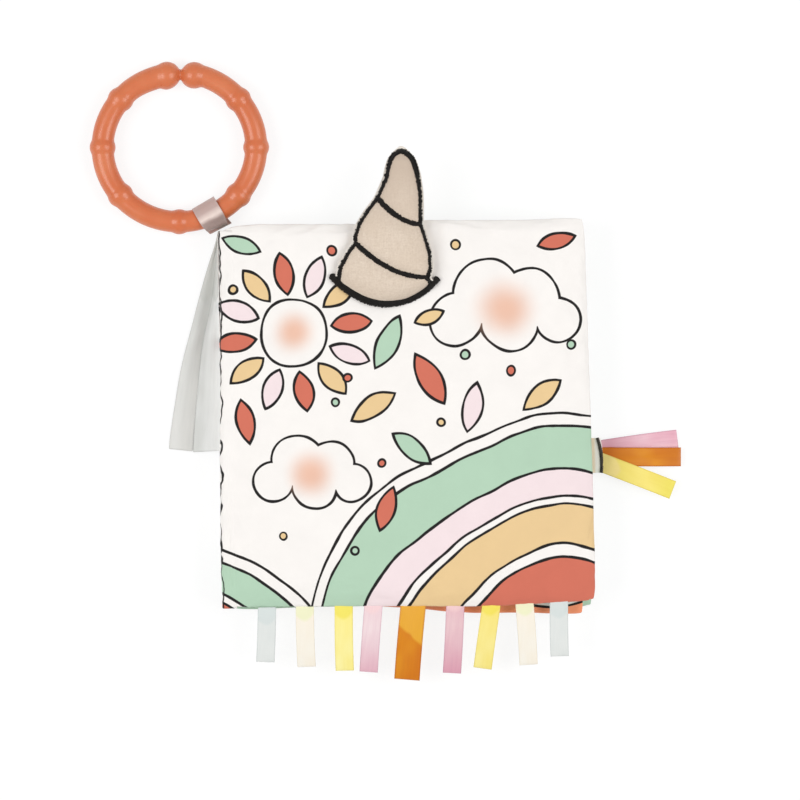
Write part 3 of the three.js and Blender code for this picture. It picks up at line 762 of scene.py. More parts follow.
def page_point(page, u, v):
    """A place on a page and how full it is there. u and v run from -1 to 1."""
    width, height = page["right"] - page["left"], page["head"] - page["foot"]
    corner_cut, corner_sharpness = 1.1, 20
    squareness = 8
    steeper = 1.35
    cut = corner_cut * abs(u * v) ** corner_sharpness
    draw = page["draw"]
    x = page["left"] + (1 + u) * width / 2 - (max(u, 0) * draw * (1 - v * v) + math.copysign(cut, u))
    drop = page["droop"] * (x - page["left"]) / width
    y = page["foot"] + (1 + v) * height / 2 - (v * draw * (1 - u * u) + math.copysign(cut, v)) - drop
    depth, middle, reach = page["belly"]
    y -= depth * math.exp(-((x - middle) / reach) ** 2) * max(0.0, -v) ** 4
    padded = max(1 - (1 - u) * width / (width - page["gutter"]), -1)
    fill = math.sqrt(max(0, 1 - abs(padded) ** squareness))
    if page["soft"]:
        rounding = page["soft"][0] if v < 0 else page["soft"][1]
        inside = min(1.0, (1 - abs(v)) * height / 2 / rounding)
        fill *= math.sqrt(max(0, 1 - (1 - inside) ** 2)) ** steeper
    else:
        fill *= math.sqrt(max(0, 1 - abs(v) ** squareness))
    x, y = spread(x, y, page["askew"])
    return x, y, fill


def page_pad(name, page, columns, rows):
    """A page's pad. Its grid is closer at the edges, and inside the rim its two skins never touch."""
    crowding = 0.92
    bulge = 0.97
    cloth = 0.25
    least = 0.35

    def crowded(share):
        turned = math.sin((share - 0.5) * math.pi * crowding) / math.sin(crowding / 2 * math.pi)
        return max(-1, min(1, turned))

    def place(across, along, side):
        u, v = crowded(across), crowded(along)
        x, y, fill = page_point(page, u, v)
        room = page["swell"] if side > 0 else min(page["swell"], page["seam"] - page["base"])
        lift = (room - cloth) * fill * bulge
        if abs(u) < 1 and abs(v) < 1:
            lift = max(lift, least)
        return x, y, page["seam"] + side * lift

    return closed_pad(name, columns, rows, place)


def stuffed(piece, page, most_out, most_in):
    """Inflates a page's pad as cloth, held at its seam, and caps how far each point may move."""
    frames = 20
    most_across, most_sunk = 1.2 * MM, 0.25 * MM
    held_beside = 1.2
    start = points_of(piece)
    group = piece.vertex_groups.new(name="held")
    on_seam = 0.00002
    for index in np.flatnonzero(np.abs(start[:, 2] - page["seam"] * MM) < on_seam):
        group.add([int(index)], 1.0, "REPLACE")
    scene = bpy.context.scene
    scene.frame_set(1)
    choose(piece)
    modifier = piece.modifiers.new("cloth", "CLOTH")
    cloth = modifier.settings
    cloth.quality = 6
    cloth.mass = 0.15
    cloth.tension_stiffness = 25
    cloth.compression_stiffness = 25
    cloth.shear_stiffness = 8
    cloth.bending_stiffness = 0.35
    cloth.use_pressure = True
    cloth.uniform_pressure_force = 3.5
    cloth.shrink_min = -0.035
    cloth.vertex_group_mass = "held"
    cloth.pin_stiffness = 1.0
    cloth.effector_weights.gravity = 0
    modifier.collision_settings.use_collision = False
    modifier.collision_settings.use_self_collision = False
    modifier.point_cache.frame_start = 1
    modifier.point_cache.frame_end = frames
    for step in range(1, frames + 1):
        scene.frame_set(step)
    ended = points_of(piece.evaluated_get(bpy.context.evaluated_depsgraph_get()))
    piece.modifiers.remove(modifier)
    scene.frame_set(1)
    moved = np.nan_to_num(ended - start)
    # Beside a seam the cloth stays where the seam holds it
    middle = np.median(start[:, 2])
    lift = np.abs(start[:, 2] - middle) / MM
    moved *= (1 - np.exp(-lift / held_beside))[:, None]
    moved[:, :2] = most_across * np.tanh(moved[:, :2] / most_across)
    up = start[:, 2] >= middle
    outward = np.where(up, moved[:, 2], -moved[:, 2])
    limit = np.where(up, most_out, most_in) * MM
    capped = np.where(outward > 0, limit * np.tanh(outward / limit),
                      most_sunk * np.tanh(outward / most_sunk))
    moved[:, 2] = np.where(up, capped, -capped)
    set_points(piece, start + moved)


def pucker(piece, depth, beside):
    """Small gathers that run in from the turned seams and fade, deeper beside given places."""
    gathers = (4.3, 5.9, 7.7, 11.3)
    fade, uneven_run, patch_run = 5.5, 17, 23
    beside_width, beside_fade, beside_rate = 9, 13, 0.75
    points = points_of(piece) / MM
    normals = points_of(piece, "normal")
    x, y = points[:, 0], points[:, 1]
    low, high = points.min(0), points.max(0)
    move = np.zeros(len(points))
    rng = np.random.default_rng(17)
    for gap, run in ((x - low[0], y), (high[0] - x, y), (y - low[1], x), (high[1] - y, x)):
        gap = np.maximum(gap, 0)
        wave = np.zeros(len(points))
        for length in gathers:
            turned = 2 * np.pi * run / length + rng.uniform(0, 6.28) + 0.9 * np.sin(run / uneven_run)
            wave += np.sin(turned) / 2
        near = np.exp(-gap / fade) * (1 - np.exp(-(gap + 0.25)))
        move += depth * wave * near * (0.55 + 0.45 * np.sin(run / patch_run + rng.uniform(0, 6.28)))
    gap = np.maximum(high[1] - y, 0)
    for place, size in beside:
        reach = np.exp(-((x - place) / beside_width) ** 2) * np.exp(-gap / beside_fade)
        reach = reach * (1 - np.exp(-(gap + 0.1) / 2))
        move += size * reach * np.sin((x - place) * beside_rate + gap * 0.06)
    set_points(piece, (points + normals * move[:, None]) * MM)


def skin_of(pad, page, name, upper):
    """The part of a finished pad above or below its seam, as cloth of its own thickness."""
    cloth = 0.3
    choose(pad)
    bpy.ops.object.duplicate()
    skin = bpy.context.active_object
    skin.name = skin.data.name = name
    mesh = bmesh.new()
    mesh.from_mesh(skin.data)
    middle = page["seam"] * MM
    away = [face for face in mesh.faces if (face.calc_center_median().z >= middle) != upper]
    bmesh.ops.delete(mesh, geom=away, context="FACES")
    mesh.to_mesh(skin.data)
    mesh.free()
    thicken(skin, cloth)
    smooth(skin)
    return skin


def make_page(name, page, columns, rows, body, upper, lower, most_out, most_in, depth=0.0, beside=()):
    """Makes a page's two cloths, upper and lower, each given as its name, node, finish and slot."""
    pad = page_pad(name, page, columns, rows)
    stuffed(pad, page, most_out, most_in)
    soften(pad)
    if depth:
        pucker(pad, depth, beside)
    skins = []
    for (cloth_name, node, finish, slot), above in ((upper, True), (lower, False)):
        skin = skin_of(pad, page, cloth_name, above)
        dress(skin, finish, body, node, slot=slot)
        skins.append(skin)
    bpy.data.objects.remove(pad)
    return skins


front_outer, _ = make_page(
    "front_cover_pad", FRONT_COVER, columns=72, rows=76, body="front_cover",
    upper=("front_cover_outer_cloth", "front_outer_panel", "cover", "printed_cloth"),
    lower=("front_cover_inner_cloth", "front_inner_panel", "mint", "mint_cloth"),
    most_out=0.4, most_in=0.2, depth=0.16, beside=((-28, 0.42), (21, 0.5), (30, 0.25), (-40, 0.22)))
make_page(
    "leaf_pad", INNER_LEAF, columns=48, rows=52, body="inner_leaf",
    upper=("leaf_front_cloth", "leaf_front_panel", "leaf_front", "coral_cloth"),
    lower=("leaf_rear_cloth", "leaf_rear_panel", "white_spotted", "printed_cloth"),
    most_out=0.2, most_in=0.2)
make_page(
    "rear_cover_pad", REAR_COVER, columns=48, rows=52, body="rear_cover",
    upper=("rear_cover_inner_cloth", "rear_inner_panel", "mint", "mint_cloth"),
    lower=("rear_cover_outer_cloth", "rear_outer_panel", "white_spotted", "printed_cloth"),
    most_out=0.2, most_in=0.05)


# Horn


def horn_row(row):
    """The ends of a row across the horn, its sag and its fullness in front and behind."""
    low = min(int(row), HORN_LAST_ROW - 1)
    share = row - low
    values = [a + (b - a) * share for a, b in zip(HORN_ROWS[low], HORN_ROWS[low + 1])]
    left_x, left_y, right_x, right_y, sag, front, back = values
    return (HORN_X + left_x * HORN_WIDTH, HORN_FOOT + left_y * HORN_HEIGHT,
            HORN_X + right_x * HORN_WIDTH, HORN_FOOT + right_y * HORN_HEIGHT,
            sag * HORN_SAG, front * HORN_FRONT, back * HORN_BACK)


def sewn_base(x):
    """How far up the page the horn's sewn base is, a shallow bow that is a little lopsided."""
    left_bow, right_bow, hang = 0.744, 0.62, 0.8
    share = (x - HORN_X) / HORN_WIDTH
    bow = (left_bow if share < 0 else right_bow) * share * share * HORN_HEIGHT
    return HORN_FOOT + bow - hang * (1 - 4 * share * share)


def horn_at(row, share):
    """Place on the horn in plan, with the heights of its front, its back and its seam there."""
    left_x, left_y, right_x, right_y, sag, front, back = horn_row(row)
    clear, raised = 0.3, 0.95
    thinnest, thinner_sewn = 0.4, 0.25
    past_base = 0.2
    bow = math.sqrt(max(0.0, 1 - (2 * share - 1) ** 2))
    sewn = max(0.0, 1 - row)
    seam = FRONT_TOP + clear + raised * (1 - sewn) + back
    x = left_x + (right_x - left_x) * share
    y = left_y + (right_y - left_y) * share - sag * bow * bow
    y += (sewn_base(x) + past_base - y) * sewn
    thin = thinnest - thinner_sewn * sewn
    return x, y, seam + (thin + front) * bow, seam - (thin + back) * bow, seam


def horn_place(across, along, side):
    share = (1 - math.cos(across * math.pi)) / 2
    x, y, front, back, seam = horn_at(along * HORN_LAST_ROW, share)
    if along in (0.0, 1.0):
        return x, y, seam
    return x, y, front if side > 0 else back


horn = closed_pad("horn_cloth", columns=22, rows=56, place=horn_place)
soften(horn)
smooth(horn)
dress(horn, "linen", "horn", "horn_front_panel", "horn_back_panel", "horn_filling", slot="horn_cloth")


# Stitching


def surface_of(piece):
    return BVHTree.FromObject(piece, bpy.context.evaluated_depsgraph_get())


def top_of(surfaces, x, y, otherwise):
    """The height of the highest of some surfaces at a place in plan."""
    above, down = Vector((x * MM, y * MM, 0.2)), Vector((0, 0, -1))
    hits = [surface.ray_cast(above, down)[0] for surface in surfaces]
    heights = [hit.z / MM for hit in hits if hit is not None]
    return max(heights) if heights else otherwise


def beside_each(values, reach):
    """For each value of a line, the values up to a reach on both sides of it, the ends repeated."""
    near = np.pad(values, reach, "edge")
    return [near[k:k + len(values)] for k in range(2 * reach + 1)]


def bedded_heights(stations, surfaces):
    """Heights along a line of stitching that is pulled taut over the steps that it crosses."""
    bridged, eased = 3, 5
    middles = [((a[0] + b[0]) / 2, (a[1] + b[1]) / 2) for a, b in stations]
    found = np.array([top_of(surfaces, x, y, stations[0][0][2]) for x, y in middles])
    return np.mean(beside_each(np.max(beside_each(found, bridged), 0), eased), 0)


def satin_stitch(name, finish, body, nodes, stations, surfaces, height,
                 ragged=0.16, seed=1, bedded=False, thick=0.5):
    """A line of satin stitch over a surface, from pairs of edge points in plan."""
    sink = 0.25
    ridged, jag_rate = 0.08, 2.6
    drawn_width = 2.4
    bed = bedded_heights(stations, surfaces) if bedded else None
    rows = len(stations) - 1
    rng = np.random.default_rng(seed)
    jags = rng.normal(0, ragged, (rows + 1, 2)) + ragged * np.sin(np.arange(rows + 1) * jag_rate)[:, None]
    strip = sheet_grid(name, 6, rows)
    length = 0.0
    for (a, b), (c, d) in zip(stations, stations[1:]):
        length += math.hypot((c[0] + d[0] - a[0] - b[0]) / 2, (c[1] + d[1] - a[1] - b[1]) / 2)
    chart(strip, drawn_width, length)

    def place(u, v):
        row = round(v * rows)
        (x0, y0, z0), (x1, y1, z1) = stations[row]
        wide = max(math.hypot(x1 - x0, y1 - y0), 0.01)
        crown = math.sqrt(max(0.0, 1 - (2 * u - 1) ** 2))
        u = u + (max(0, 0.5 - u) * -jags[row, 0] + max(0, u - 0.5) * jags[row, 1]) * 2 / wide
        x, y, z = x0 + (x1 - x0) * u, y0 + (y1 - y0) * u, z0 + (z1 - z0) * u
        ridge = ridged * (row % 2)
        under = bed[row] if bedded else top_of(surfaces, x, y, z)
        return x, y, under - sink + (height + sink) * crown + ridge

    lay(strip, place)
    thicken(strip, thick)
    smooth(strip)
    dress(strip, finish, body, *nodes, slot="black_thread")


def resampled(points, step):
    """Points a step apart along a polyline in plan."""
    points = np.array(points, float)
    gaps = np.linalg.norm(np.diff(points[:, :2], axis=0), axis=1)
    run = np.concatenate([[0], np.cumsum(gaps)])
    count = max(2, int(run[-1] / step))
    wanted = np.linspace(0, run[-1], count + 1)
    return np.stack([np.interp(wanted, run, points[:, k]) for k in range(points.shape[1])], 1)


def smoothed(points, passes):
    """A polyline with points added half way and its corners eased, pass after pass."""
    points = np.array(points, float)
    for _ in range(passes):
        mid = (points[:-1] + points[1:]) / 2
        out = np.empty((len(points) + len(mid), points.shape[1]))
        out[0::2], out[1::2] = points, mid
        out[2:-2:2] = 0.5 * out[2:-2:2] + 0.25 * (out[1:-3:2] + out[3:-1:2])
        points = out
    return points


def line_stations(points, widths):
    """Pairs of edge points a stitch apart along a path, from widths spread evenly along it."""
    stitch = 0.34
    beside = 3
    path = resampled(points, stitch)
    widths = np.interp(np.linspace(0, 1, len(path)), np.linspace(0, 1, len(widths)), widths)
    stations = []
    for i, point in enumerate(path):
        dx, dy, _ = path[min(i + beside, len(path) - 1)] - path[max(i - beside, 0)]
        n = np.array([-dy, dx, 0]) / max(math.hypot(dx, dy), 1e-9) * widths[i] / 2
        stations.append((point - n, point + n))
    return stations


horn_surface = [surface_of(horn)]
cover_surface = [surface_of(front_outer)]


def horn_line(row):
    """The path of a band of stitching across the horn."""
    steps, edge = 40, 0.02
    found = []
    for i in range(steps + 1):
        share = edge + (1 - 2 * edge) * (1 - math.cos(i / steps * math.pi)) / 2
        x, y, front, back, seam = horn_at(row, share)
        found.append((x, y, front))
    return found


def horn_outline(inset, first=0.05, last=0.55, tip_inset=0.3):
    """A path beside the horn's edge: up the left side, over the tip and down the right side."""
    steps, tip_out = 60, 6
    left, right = [], []
    for row in np.linspace(first, HORN_LAST_ROW - last, steps):
        left_x, left_y, right_x, right_y, *_ = horn_row(row)
        share = inset / (right_x - left_x)
        for store, at in ((left, share), (right, 1 - share)):
            held = min(1, max(0, at))
            x, y, front, back, seam = horn_at(row, held)
            x += (at - held) * (right_x - left_x)
            store.append((x, y, front if inset > 0 else seam))
    tip = []
    for turn in (0.25, 0.5, 0.75):
        x, y, front, back, seam = horn_at(HORN_LAST_ROW - max(tip_inset, 0), turn)
        tip.append((x, y - min(tip_inset, 0) * tip_out, front if inset > 0 else seam))
    return smoothed(left + tip + right[::-1], 2)


def horn_rim():
    """The narrow pale edge of cloth that stands out past the outline's stitching."""
    step, thick = 0.8, 0.55
    rise, wave, wave_rate = 0.2, 0.1, 0.7
    outer = resampled(horn_outline(inset=-1.35, first=0.1, last=0.3, tip_inset=-0.17), step)
    inner = resampled(horn_outline(inset=0.5, first=0.1, last=0.5, tip_inset=0.2), step)
    count = len(outer) - 1
    even = np.linspace(0, 1, count + 1)
    inner = np.stack([np.interp(even, np.linspace(0, 1, len(inner)), inner[:, k]) for k in range(3)], 1)
    rim = sheet_grid("horn_rim_cloth", 3, count)
    chart(rim, across=1.6, along=150)

    def place(u, v):
        row = round(v * count)
        x, y, z = outer[row] + (inner[row] - outer[row]) * u
        return x, y, outer[row][2] + rise + wave * math.sin(row * wave_rate)

    lay(rim, place)
    thicken(rim, thick, offset=0.0)
    smooth(rim)
    dress(rim, "rim", "horn", slot="horn_cloth")
    return rim


rim_surface = [surface_of(horn_rim())]
for name, node, path, widths, height, seed in (
    ("horn_lower_band", "horn_lower_stitching", horn_line(HORN_LOWER_BAND),
     (1.8, 1.9, 1.6, 1.6, 1.4), 0.55, 3),
    ("horn_upper_band", "horn_upper_stitching", horn_line(HORN_UPPER_BAND),
     (1.8, 2.0, 1.5, 1.3), 0.55, 4),
    ("horn_outline_stitch", "horn_edge_stitching", horn_outline(0.45, 0.0),
     (1.5, 1.4, 1.1, 1.2, 1.1, 1.2, 1.7, 1.6, 2.1, 1.9, 1.4, 1.1, 1.0, 1.1, 1.1, 1.3), 0.5, 5),
):
    satin_stitch(name, "stitch", "horn", (node,), line_stations(path, widths), horn_surface, height,
                 seed=seed)

base_path = [(HORN_X + a * HORN_WIDTH, HORN_FOOT + b * HORN_HEIGHT, FRONT_TOP) for a, b in HORN_BASE_BAND]
base_widths = (0.9, 2.0, 2.7, 2.9, 2.8, 2.7, 2.6, 2.6, 2.4, 1.9, 1.0)
satin_stitch("horn_base_stitch", "stitch", "front_cover", ("horn_base_stitching",),
             line_stations(smoothed(base_path, 4), base_widths),
             cover_surface + horn_surface + rim_surface, 0.6, seed=6, bedded=True, thick=1.1)


# Satin loops


def mark(piece, name, values):
    """Keeps a number for each corner that its finish reads."""
    kept = piece.data.attributes.new(name, "FLOAT", "POINT")
    kept.data.foreach_set("value", [float(value) for value in values])


def ribbon(name, across, along, width, length, place, run, cloth=0.28):
    """A ribbon from a grid: place takes its shares across and along. Kept flat in its own UV map."""
    piece = sheet_grid(name, across, along)
    chart(piece, width, length)
    shares = [(corner.co.x + 0.5, corner.co.y + 0.5) for corner in piece.data.vertices]
    lay(piece, place)
    mark(piece, "side", [2 * u - 1 for u, v in shares])
    mark(piece, "run", [run(v) for u, v in shares])
    soften(piece)
    thicken(piece, cloth, offset=0.0)
    smooth(piece)
    return piece


def folded_loop(name, root, lean, length, width, sag, seed, turn, tuck, top=0.0):
    """A ribbon folded in half, sewn at its two cut ends. Turn is where it points, in degrees, and
    its root is cut square to the seam that it is sewn in, a tuck inside it."""
    thick = 0.7
    layer = thick * 0.72
    bend, fold_out = 0.04, 0.75
    pressed, opened_by, top_by = 0.35, 4, 5
    wave_rate, sway_rate = 7.5, 2.6
    rng = np.random.default_rng(seed)
    twist = rng.uniform(-0.08, 0.08)
    sway = rng.uniform(0.1, 0.3) * rng.choice([-1, 1])
    ripple = rng.uniform(0.08, 0.2)
    phase = rng.uniform(0, 6.28)
    angle = math.radians(turn)
    skew = math.tan(math.radians(lean))
    reach = length - thick

    def place(u, v):
        side = (u - 0.5) * width
        start = side * skew - tuck
        if abs(v - 0.5) < bend:
            around = (v - 0.5) / bend * math.pi / 2
            s = reach + thick * math.cos(around) * fold_out
            lift = -layer * math.sin(around)
        else:
            s = start + (reach - start) * (0.5 - abs(v - 0.5)) / (0.5 - bend)
            opened = min(1.0, max(0.0, s + 0.5) / opened_by)
            lift = math.copysign(layer, 0.5 - v) * (pressed + (1 - pressed) * opened)
        share = max(0.0, s) / length
        drop = -sag * share * share - top * max(0.0, 1 - max(0.0, s) / top_by) ** 2
        roll = twist * share * side
        wave = ripple * math.sin(phase + share * wave_rate) * share * (0.4 + 0.6 * (u - 0.5) ** 2 * 4)
        across = side + sway * math.sin(share * sway_rate)
        x = s * math.cos(angle) - across * math.sin(angle)
        y = s * math.sin(angle) + across * math.cos(angle)
        return root[0] + x, root[1] + y, root[2] + drop + lift + roll + wave

    return ribbon(name, 8, 44, width, 2 * length, place, lambda v: length * (1 - abs(2 * v - 1)) / 10)


foot_bow, seam_out, fringe_tuck, fringe_sag = 0.8, 0.3, 0.9, 7
for number, (finish, share, width, length, lean) in enumerate(FRINGE, 1):
    colour = finish.split("_")[-1]
    foot = -HEAD + foot_bow * (1 - (2 * share) ** 2)
    root = (share * BOOK_WIDTH, foot - seam_out, FRONT_SEAM)
    loop = folded_loop(f"fringe_{number}_{colour}_loop", root, lean, length + 2 * seam_out, width,
                       fringe_sag * (length / LONGEST_FRINGE), 10 + number, lean - 90, fringe_tuck)
    dress(loop, finish, f"fringe_{number}", f"fringe_{number}_{colour}", slot=f"{colour}_satin")

tail_root, tail_up, tail_step, tail_sag, tail_tuck = 96.4, 0.4, 1.5, 1.6, 0.8
for number, (colour, share, length, lean, layer) in enumerate(TAIL, 1):
    root = (tail_root, TAB_MIDDLE + share * TAB_HEIGHT + tail_up, REAR_SEAM + layer * tail_step)
    loop = folded_loop(f"tail_{colour}_loop", root, lean, length, TAIL_RIBBON, tail_sag, 40 + number,
                       lean, tail_tuck, 0.6 * layer)
    dress(loop, f"tail_{colour}", f"tail_{colour}", f"tail_loop_{colour}", slot=f"{colour}_satin")


# Tail tab


def tail_tab():
    """A folded cloth tab with a bowed front, and the bowed line stitched along it."""
    low, high = -31.0, -13.9
    root, front, front_bow = 89.4, 95.6, 1.1
    rise, crowned, thick = 0.3, 0.75, 1.5
    line_x, line_bow, line_middle, line_half = 94.1, 1.95, -25.58, 11.7

    def place(u, v):
        bow = front_bow * (1 - (2 * v - 1) ** 2)
        crown = math.sqrt(max(0, 1 - (2 * u - 1) ** 8)) * (1 - 0.25 * abs(2 * v - 1) ** 4)
        x, y = root + (front + bow - root) * u, low + (high - low) * v
        return x, y, REAR_SEAM + rise + crowned * crown

    tab = sheet_grid("tail_tab_cloth", columns=14, rows=26)
    chart(tab, across=6.1, along=TAB_HEIGHT)
    lay(tab, place)
    thicken(tab, thick)
    finish_with(tab, "BEVEL", width=0.3 * MM, segments=2, limit_method="ANGLE")
    smooth(tab)
    dress(tab, "tab", "rear_cover", "tail_tab", slot="tab_cloth")
    path = [(line_x + line_bow * (1 - ((y - line_middle) / line_half) ** 2), y, 6.0)
            for y in np.linspace(high + 0.1, low - 0.1, 30)]
    satin_stitch("tail_tab_stitch", "tab_line", "rear_cover", (),
                 line_stations(path, (0.55, 0.75, 0.8, 0.75, 0.65)), [surface_of(tab)], 0.7, ragged=0.04)


tail_tab()


# Link ring


def link_ring():
    """The hoop is spun from a circle, beads are added along it, and the whole is melted into one. It
    is a little wider and thicker than the solid."""
    radius, tube = RING_RADIUS + 0.25, RING_TUBE + 0.6
    knob, knob_narrow, knob_turn = 6.4, 0.95, 1.35
    ball, ball_out = 6.75, 36.7
    wider, shorter = 1.008, 0.978
    drawn_at, drawn_reach, drawn_in, inner_more = 109, 15, 0.55, 0.8
    middle = math.radians(RING_GAP_ANGLE)
    gap = math.asin((ball - 0.1) / ball_out)
    sweep = 2 * math.pi - 2 * gap
    centre = Vector((RING_X - 0.55, RING_Y + 1.3, RING_Z)) * MM

    def around(angle, out):
        """A place at an angle and a distance from the hoop's centre."""
        return centre.x + out * MM * math.cos(angle), centre.y + out * MM * math.sin(angle), centre.z

    clear_selection()
    bpy.ops.mesh.primitive_circle_add(
        vertices=32, radius=tube * MM, fill_type="NGON",
        location=around(middle + gap, radius), rotation=(math.pi / 2, 0, middle + gap))
    ring = bpy.context.active_object
    ring.name = ring.data.name = "link_ring_body"
    bpy.ops.object.transform_apply(location=True, rotation=True, scale=True)
    in_edit_mode(ring, bpy.ops.mesh.spin, steps=180, angle=-sweep, center=centre, axis=(0, 0, 1))
    beads = [(math.radians(angle - knob_turn), radius, knob, knob_narrow) for angle in RING_KNOB_ANGLES]
    beads += [(middle + side * gap, ball_out, ball, 1.0) for side in (-1, 1)]
    for angle, out, size, narrow in beads:
        clear_selection()
        bpy.ops.mesh.primitive_uv_sphere_add(segments=48, ring_count=28, radius=size * MM,
                                             location=around(angle, out), rotation=(0, 0, angle))
        bead = bpy.context.active_object
        bead.scale = (1.0, narrow, 1.0)
        bpy.ops.object.transform_apply(location=True, rotation=True, scale=True)
        finish_with(ring, "BOOLEAN", operation="UNION", solver="EXACT", object=bead)
        bpy.data.objects.remove(bead)
    finish_with(ring, "REMESH", mode="VOXEL", voxel_size=0.55 * MM)
    finish_with(ring, "SMOOTH", factor=0.5, iterations=12)
    # The hoop is a little wider across than it is long
    places = points_of(ring)
    places[:, 0] = centre.x + (places[:, 0] - centre.x) * wider
    places[:, 1] = centre.y + (places[:, 1] - centre.y) * shorter
    # The left end is drawn in a little, and is thicker on its inner side
    out = places[:, :2] - np.array(centre)[:2]
    far = np.hypot(out[:, 0], out[:, 1])
    turn = np.degrees(np.arctan2(out[:, 1], out[:, 0]))
    inner = np.clip((radius * MM - far) / (tube * MM), -1, 1)
    pull = drawn_in * MM * np.exp(-((turn - drawn_at) / drawn_reach) ** 2) * (1 + inner_more * inner)
    places[:, :2] -= out * (pull / far)[:, None]
    set_points(ring, places)
    smooth(ring)
    dress(ring, "ring", "link_ring", "link_ring", slot="ring_plastic")


link_ring()


# Ring holder


def ring_holder():
    """Satin ribbon round the hoop: up from the corner seam, over the tube, back under it. It crosses
    the tube a little askew, so it is drawn along its own line."""
    turned = math.radians(-61.0)
    out = np.array([math.cos(turned), math.sin(turned)])
    side = np.array([-math.sin(turned), math.cos(turned)])
    middle = np.array([-92.4, 99.0])
    bore, clear, pulled, nearer = 5.8, 0.3, 1.2, 0.2
    leaves, returns = 40, 325
    # The ribbon's section: distances from the tube's middle towards the corner, and heights
    section = [(8.1, 7.2), (7.2, 9.2)]
    for turn in np.radians(np.linspace(leaves, returns, 30)):
        pull = ((1 - math.cos(turn)) / 2) ** 3 * pulled
        away = bore + pull + clear
        section.append((away * math.cos(turn) - nearer, RING_Z + away * math.sin(turn)))
    section += [(6.9, 3.4), (8.1, 4.2)]
    path = resampled(smoothed(section, passes=2), step=0.6)
    length = float(np.linalg.norm(np.diff(path, axis=0), axis=1).sum())
    steps = len(path) - 1
    widest, crowned, pleats = 12.3, 0.25, 3

    def place(u, v):
        at = v * steps
        k = min(int(at), steps - 1)
        r, z = path[k] + (path[k + 1] - path[k]) * (at - k)
        near = max(0.0, (r - 2.5) / bore)
        upper = v < 0.5
        width = widest - (1.6 if upper else 0.4) * near
        across = (u - 0.5) * width + (0.0 if upper else 1.3 * near)
        pleat = (0.35 if upper else 0.3) * near * math.cos(u * math.pi * pleats + 0.6)
        crown = crowned * math.cos((u - 0.5) * math.pi) * math.exp(-(r / 4) ** 2)
        r -= max(0.0, r - 2) * (0.42 if upper else 0.1) * (1 - u)
        x, y = middle + out * r + side * across
        return x, y, z + pleat + crown

    band = ribbon("ring_holder_ribbon", 24, 60, WIDE_RIBBON, length, place, lambda v: v * length / 10, 0.32)
    dress(band, "silver", "ring_holder", "ring_holder", slot="silver_satin")


ring_holder()


# Corner tails


# Edges of the two tails, from the spine outwards, at places along them
TAILS_ALONG = [0, 0.02, 0.1, 0.2, 0.3, 0.4, 0.5, 0.6, 0.7, 0.8, 0.9, 1]
TAILS_INNER = [-0.09, 0, 0, 0, 0, 0, 0, 0, 0, 0, 0, 0.04]
TAILS_MIDDLE = [-0.07, -0.05, 0.03, 0.08, 0.115, 0.225, 0.335, 0.39, 0.445, 0.49, 0.545, 0.58]
TAILS_OUTER = [-0.05, -0.02, 0.12, 0.255, 0.385, 0.5, 0.62, 0.75, 0.83, 0.905, 0.98, 1.04]


def corner_tail(name, inner, outer, node, finish, seed, slant, lean):
    """A satin ribbon that lies beside the spine and is pleated narrow where it is sewn."""
    phase = np.random.default_rng(seed).uniform(0, 6.28)
    even = np.linspace(0, 1, 41)
    near_line, far_line = (np.mean(beside_each(np.interp(even, TAILS_ALONG, edge), 3), 0)
                           for edge in (inner, outer))
    spine_side, outwards, root = -89.3, 25.6, 91.6
    opened_by, lowest = 0.2, 0.35
    sewn_rise, sewn_by = 2.4, 0.13
    pleated_span, pleat_depth, roll_height = 25.4, 0.4, 1.1

    def place(u, v):
        near, far = np.interp(v, even, near_line), np.interp(v, even, far_line)
        share = far + (near - far) * u
        x = spine_side - share * outwards
        y = root - CORNER_TAIL_LENGTH * v - slant * (1 - u) * v ** 6
        rise = max(1 - v / sewn_by, 0) ** 2 * sewn_rise
        narrow = max(0.0, 1 - abs(near - far) * pleated_span / WIDE_RIBBON)
        pleats = pleat_depth * narrow * math.cos(u * math.pi * 2 + phase)
        opened = min(v / opened_by, 1)
        roll = roll_height * math.sin(u * math.pi) ** 1.4 * opened
        roll = roll * (0.75 + 0.25 * math.sin(phase + v * 3.2))
        lip = 0.25 * math.sin(u * 2.4 + v * 6 + phase) * v
        z = 0.55 + rise + (0.5 + pleats) * min(1, v / 0.05 + 0.2) + roll + lip + lean * u * opened
        return x, y, max(z, lowest)

    tail = ribbon(name, 20, 70, WIDE_RIBBON, CORNER_TAIL_LENGTH, place,
                  lambda v: v * CORNER_TAIL_LENGTH / 10, 0.26)
    dress(tail, finish, "corner_tails", node, slot="pale_satin")


corner_tail("corner_tail_left_ribbon", TAILS_MIDDLE, TAILS_OUTER, "corner_tail_left", "pale_grey",
            seed=5, slant=-1.5, lean=0.0)
corner_tail("corner_tail_right_ribbon", TAILS_INNER, [middle - 0.004 for middle in TAILS_MIDDLE],
            "corner_tail_right", "pale_inner", seed=9, slant=0.4, lean=2.6)


# Spine cloth


# Across the spine's cloth, from on top of a cover to the middle of the spine: how far a place is from
# the spine's face, how far it is over the cover, and its height over the seam once it leaves the cover
SPINE_PROFILE = [(7.0, -0.25, None), (5.6, 0.06, None), (4.2, 0.2, None), (2.9, 0.0, 1.9), (1.9, 0.0, 1.7),
                 (1.05, 0.0, 1.25), (0.45, 0.0, 0.65), (0.1, 0.0, -0.3), (0.0, 0.0, -1.6),
                 (-0.05, 0.0, -3.4), (-0.1, 0.0, -6.2), (-0.1, 0.0, -8.95)]
SPINE_RIPPLES = ((0.16, 0.43), (0.12, 0.81), (0.10, 1.37), (0.16, 0.13))


